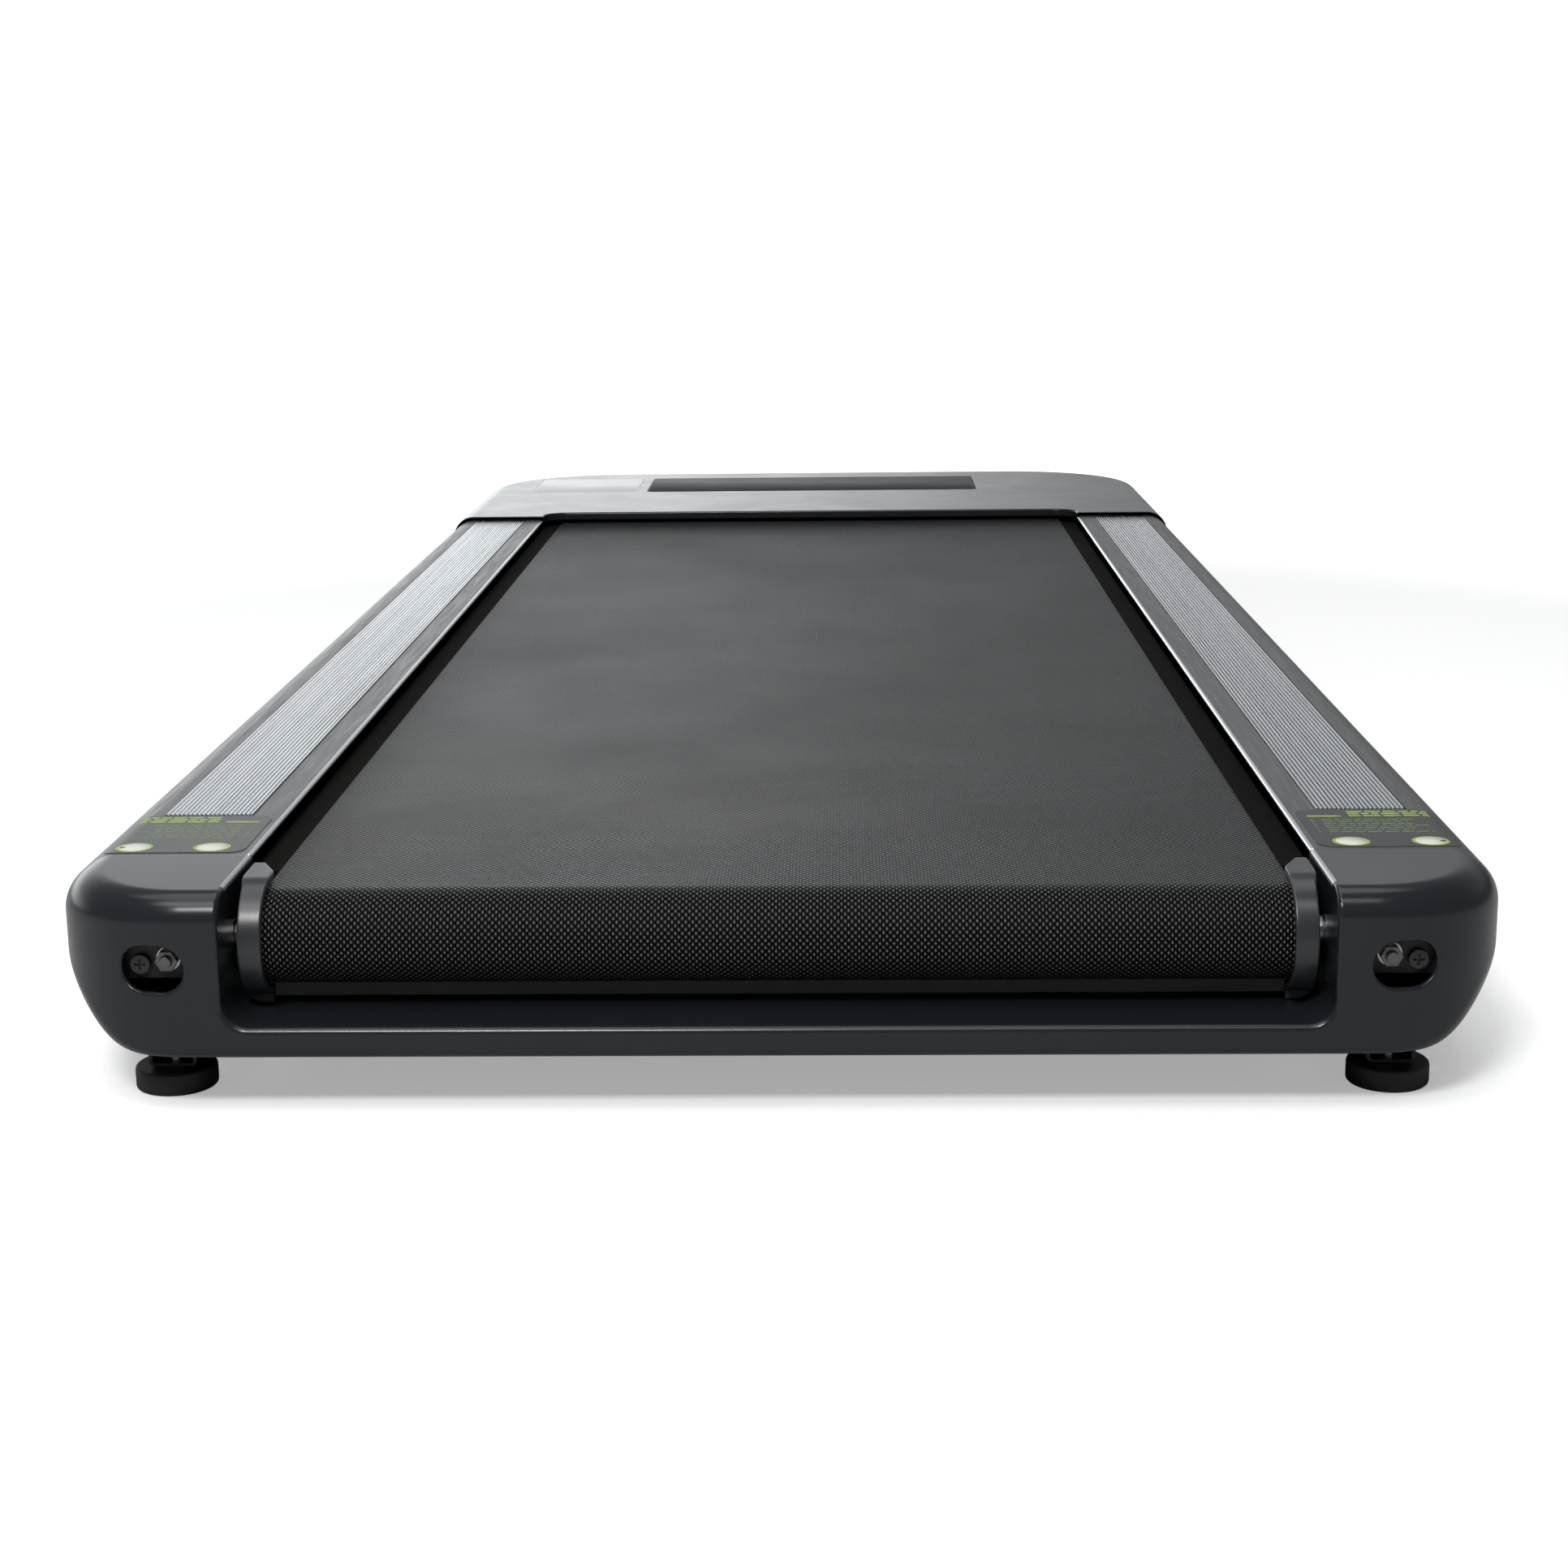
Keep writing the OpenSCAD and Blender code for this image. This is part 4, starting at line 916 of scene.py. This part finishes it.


# The pale sheet is what the camera sees. It glows, weakly within about 0.75 m of the object's origin and more
# strongly beyond 1.35 m: painted light that whitens the far floor and leaves the ground round the object greyer. The
# one just under it returns light to the object
pale = plain("glowing_floor", (0.86, 0.86, 0.86), 0.7, grain=40, spread=0.01, cloud=1.2, specular=0.1)
nodes, links = pale.node_tree.nodes, pale.node_tree.links
away = nodes.new("ShaderNodeVectorMath")
away.operation = "LENGTH"
links.new(nodes.new("ShaderNodeTexCoord").outputs["Object"], away.inputs[0])
# The floor's glow, rising with distance from the object: painted light
lit = nodes.new("ShaderNodeMapRange")
lit.interpolation_type = "SMOOTHSTEP"
for key, value in (("From Min", 0.75), ("From Max", 1.35), ("To Min", 0.37), ("To Max", 1.1)):
    lit.inputs[key].default_value = value
links.new(away.outputs["Value"], lit.inputs["Value"])
shader = nodes["Principled BSDF"]
shader.inputs["Emission Color"].default_value = (1, 1, 1, 1)
links.new(lit.outputs["Result"], shader.inputs["Emission Strength"])
sweep_up = [(4 + 2 * math.sin(a), 2 - 2 * math.cos(a)) for a in np.linspace(0.1, math.pi / 2, 16)]
floor = sheet("floor", [(-9.0, 0.0), (4.0, 0.0)] + sweep_up + [(6.0, 7.0)], pale)
floor.visible_glossy = False
floor.visible_diffuse = False
floor.visible_shadow = False
under = sheet("floor_bounce", [(-9.0, -0.0005), (3.0, -0.0005)],
              plain("floor_bounce", (0.5, 0.5, 0.5), 0.8, grain=40, spread=0.02, cloud=1.2, specular=0.1))
under.visible_camera = False

world = bpy.data.worlds.new("studio")
bpy.context.scene.world = world
world.use_nodes = True
tree = world.node_tree
sky = tree.nodes["Background"]
direction = tree.nodes.new("ShaderNodeTexCoord").outputs["Generated"]
parts = tree.nodes.new("ShaderNodeSeparateXYZ")
tree.links.new(direction, parts.inputs[0])


def share(axis, start, end, low, high):
    """A smooth ramp of one direction component."""
    node = tree.nodes.new("ShaderNodeMapRange")
    node.interpolation_type = "SMOOTHSTEP"
    for key, value in (("From Min", start), ("From Max", end), ("To Min", low), ("To Max", high)):
        node.inputs[key].default_value = value
    tree.links.new(parts.outputs[axis], node.inputs["Value"])
    return node.outputs["Result"]


def joined(operation, a, b):
    """One sum or product of two of the world's values."""
    node = tree.nodes.new("ShaderNodeMath")
    node.operation = operation
    tree.links.new(a, node.inputs[0])
    tree.links.new(b, node.inputs[1])
    return node.outputs[0]


# The sky's strength: brightest low down beyond the far end, and more so on the left
low_band = joined("MULTIPLY", share("Z", 0.10, 0.26, 1.0, 0.0), share("X", -0.12, 0.13, 1.42, -0.22))
broad = joined("MULTIPLY", share("Z", 0.24, 0.5, 1.0, 0.12), share("X", -0.14, 0.12, 0.48, 0.47))
broad = joined("MULTIPLY", broad, share("X", 0.14, 0.5, 1.0, 0.3))
ahead = joined("MULTIPLY", share("Y", 0.1, 0.85, 0.0, 1.0), joined("ADD", low_band, broad))
tree.links.new(joined("ADD", ahead, share("Y", -0.8, 0.3, 0.2, 0.16)), sky.inputs["Strength"])
sky.inputs["Color"].default_value = (0.955, 0.985, 1.0, 1)


def softbox(name, spot, target, width, height, power):
    """Rectangular lamp, in metres and watts, that the camera doesn't see."""
    lamp = bpy.data.lights.new(name, "AREA")
    lamp.shape = "RECTANGLE"
    lamp.size, lamp.size_y, lamp.energy = width, height, power
    obj = bpy.data.objects.new(name, lamp)
    obj.location = spot
    obj.visible_camera = False
    obj.rotation_euler = (Vector(target) - Vector(spot)).to_track_quat("-Z", "Y").to_euler()
    bpy.context.scene.collection.objects.link(obj)


softbox("overhead", (-0.2, 0.2, 2.6), (0, 0, 0), 2.6, 2.2, 25)
softbox("key_left", (-0.42, -2.05, 1.62), (-0.25, -0.7, 0.1), 0.55, 0.36, 24)
softbox("behind", (-0.3, -1.6, 2.3), (0, -0.7, 0), 2.2, 0.7, 18)

CAMERA_PLACE = (0.0279, -1.748, 0.3669)
FOCAL_LENGTH = 59.72
PITCH, YAW, ROLL = (math.radians(a) for a in (13.07, 1.363, 0.634))
forward = Vector((-math.sin(YAW) * math.cos(PITCH), math.cos(YAW) * math.cos(PITCH), -math.sin(PITCH)))
level = Vector((math.cos(YAW), math.sin(YAW), 0))
upward = level.cross(forward)
right = level * math.cos(ROLL) - upward * math.sin(ROLL)
up = level * math.sin(ROLL) + upward * math.cos(ROLL)
lens = bpy.data.cameras.new("camera")
lens.sensor_width = 36
lens.lens = FOCAL_LENGTH
lens.clip_start, lens.clip_end = 0.05, 60
camera = bpy.data.objects.new("camera", lens)
turn = Matrix((right, up, -forward)).transposed().to_4x4()
camera.matrix_world = Matrix.Translation(CAMERA_PLACE) @ turn
bpy.context.scene.collection.objects.link(camera)
bpy.context.scene.camera = camera
bpy.context.scene.view_settings.view_transform = "Standard"
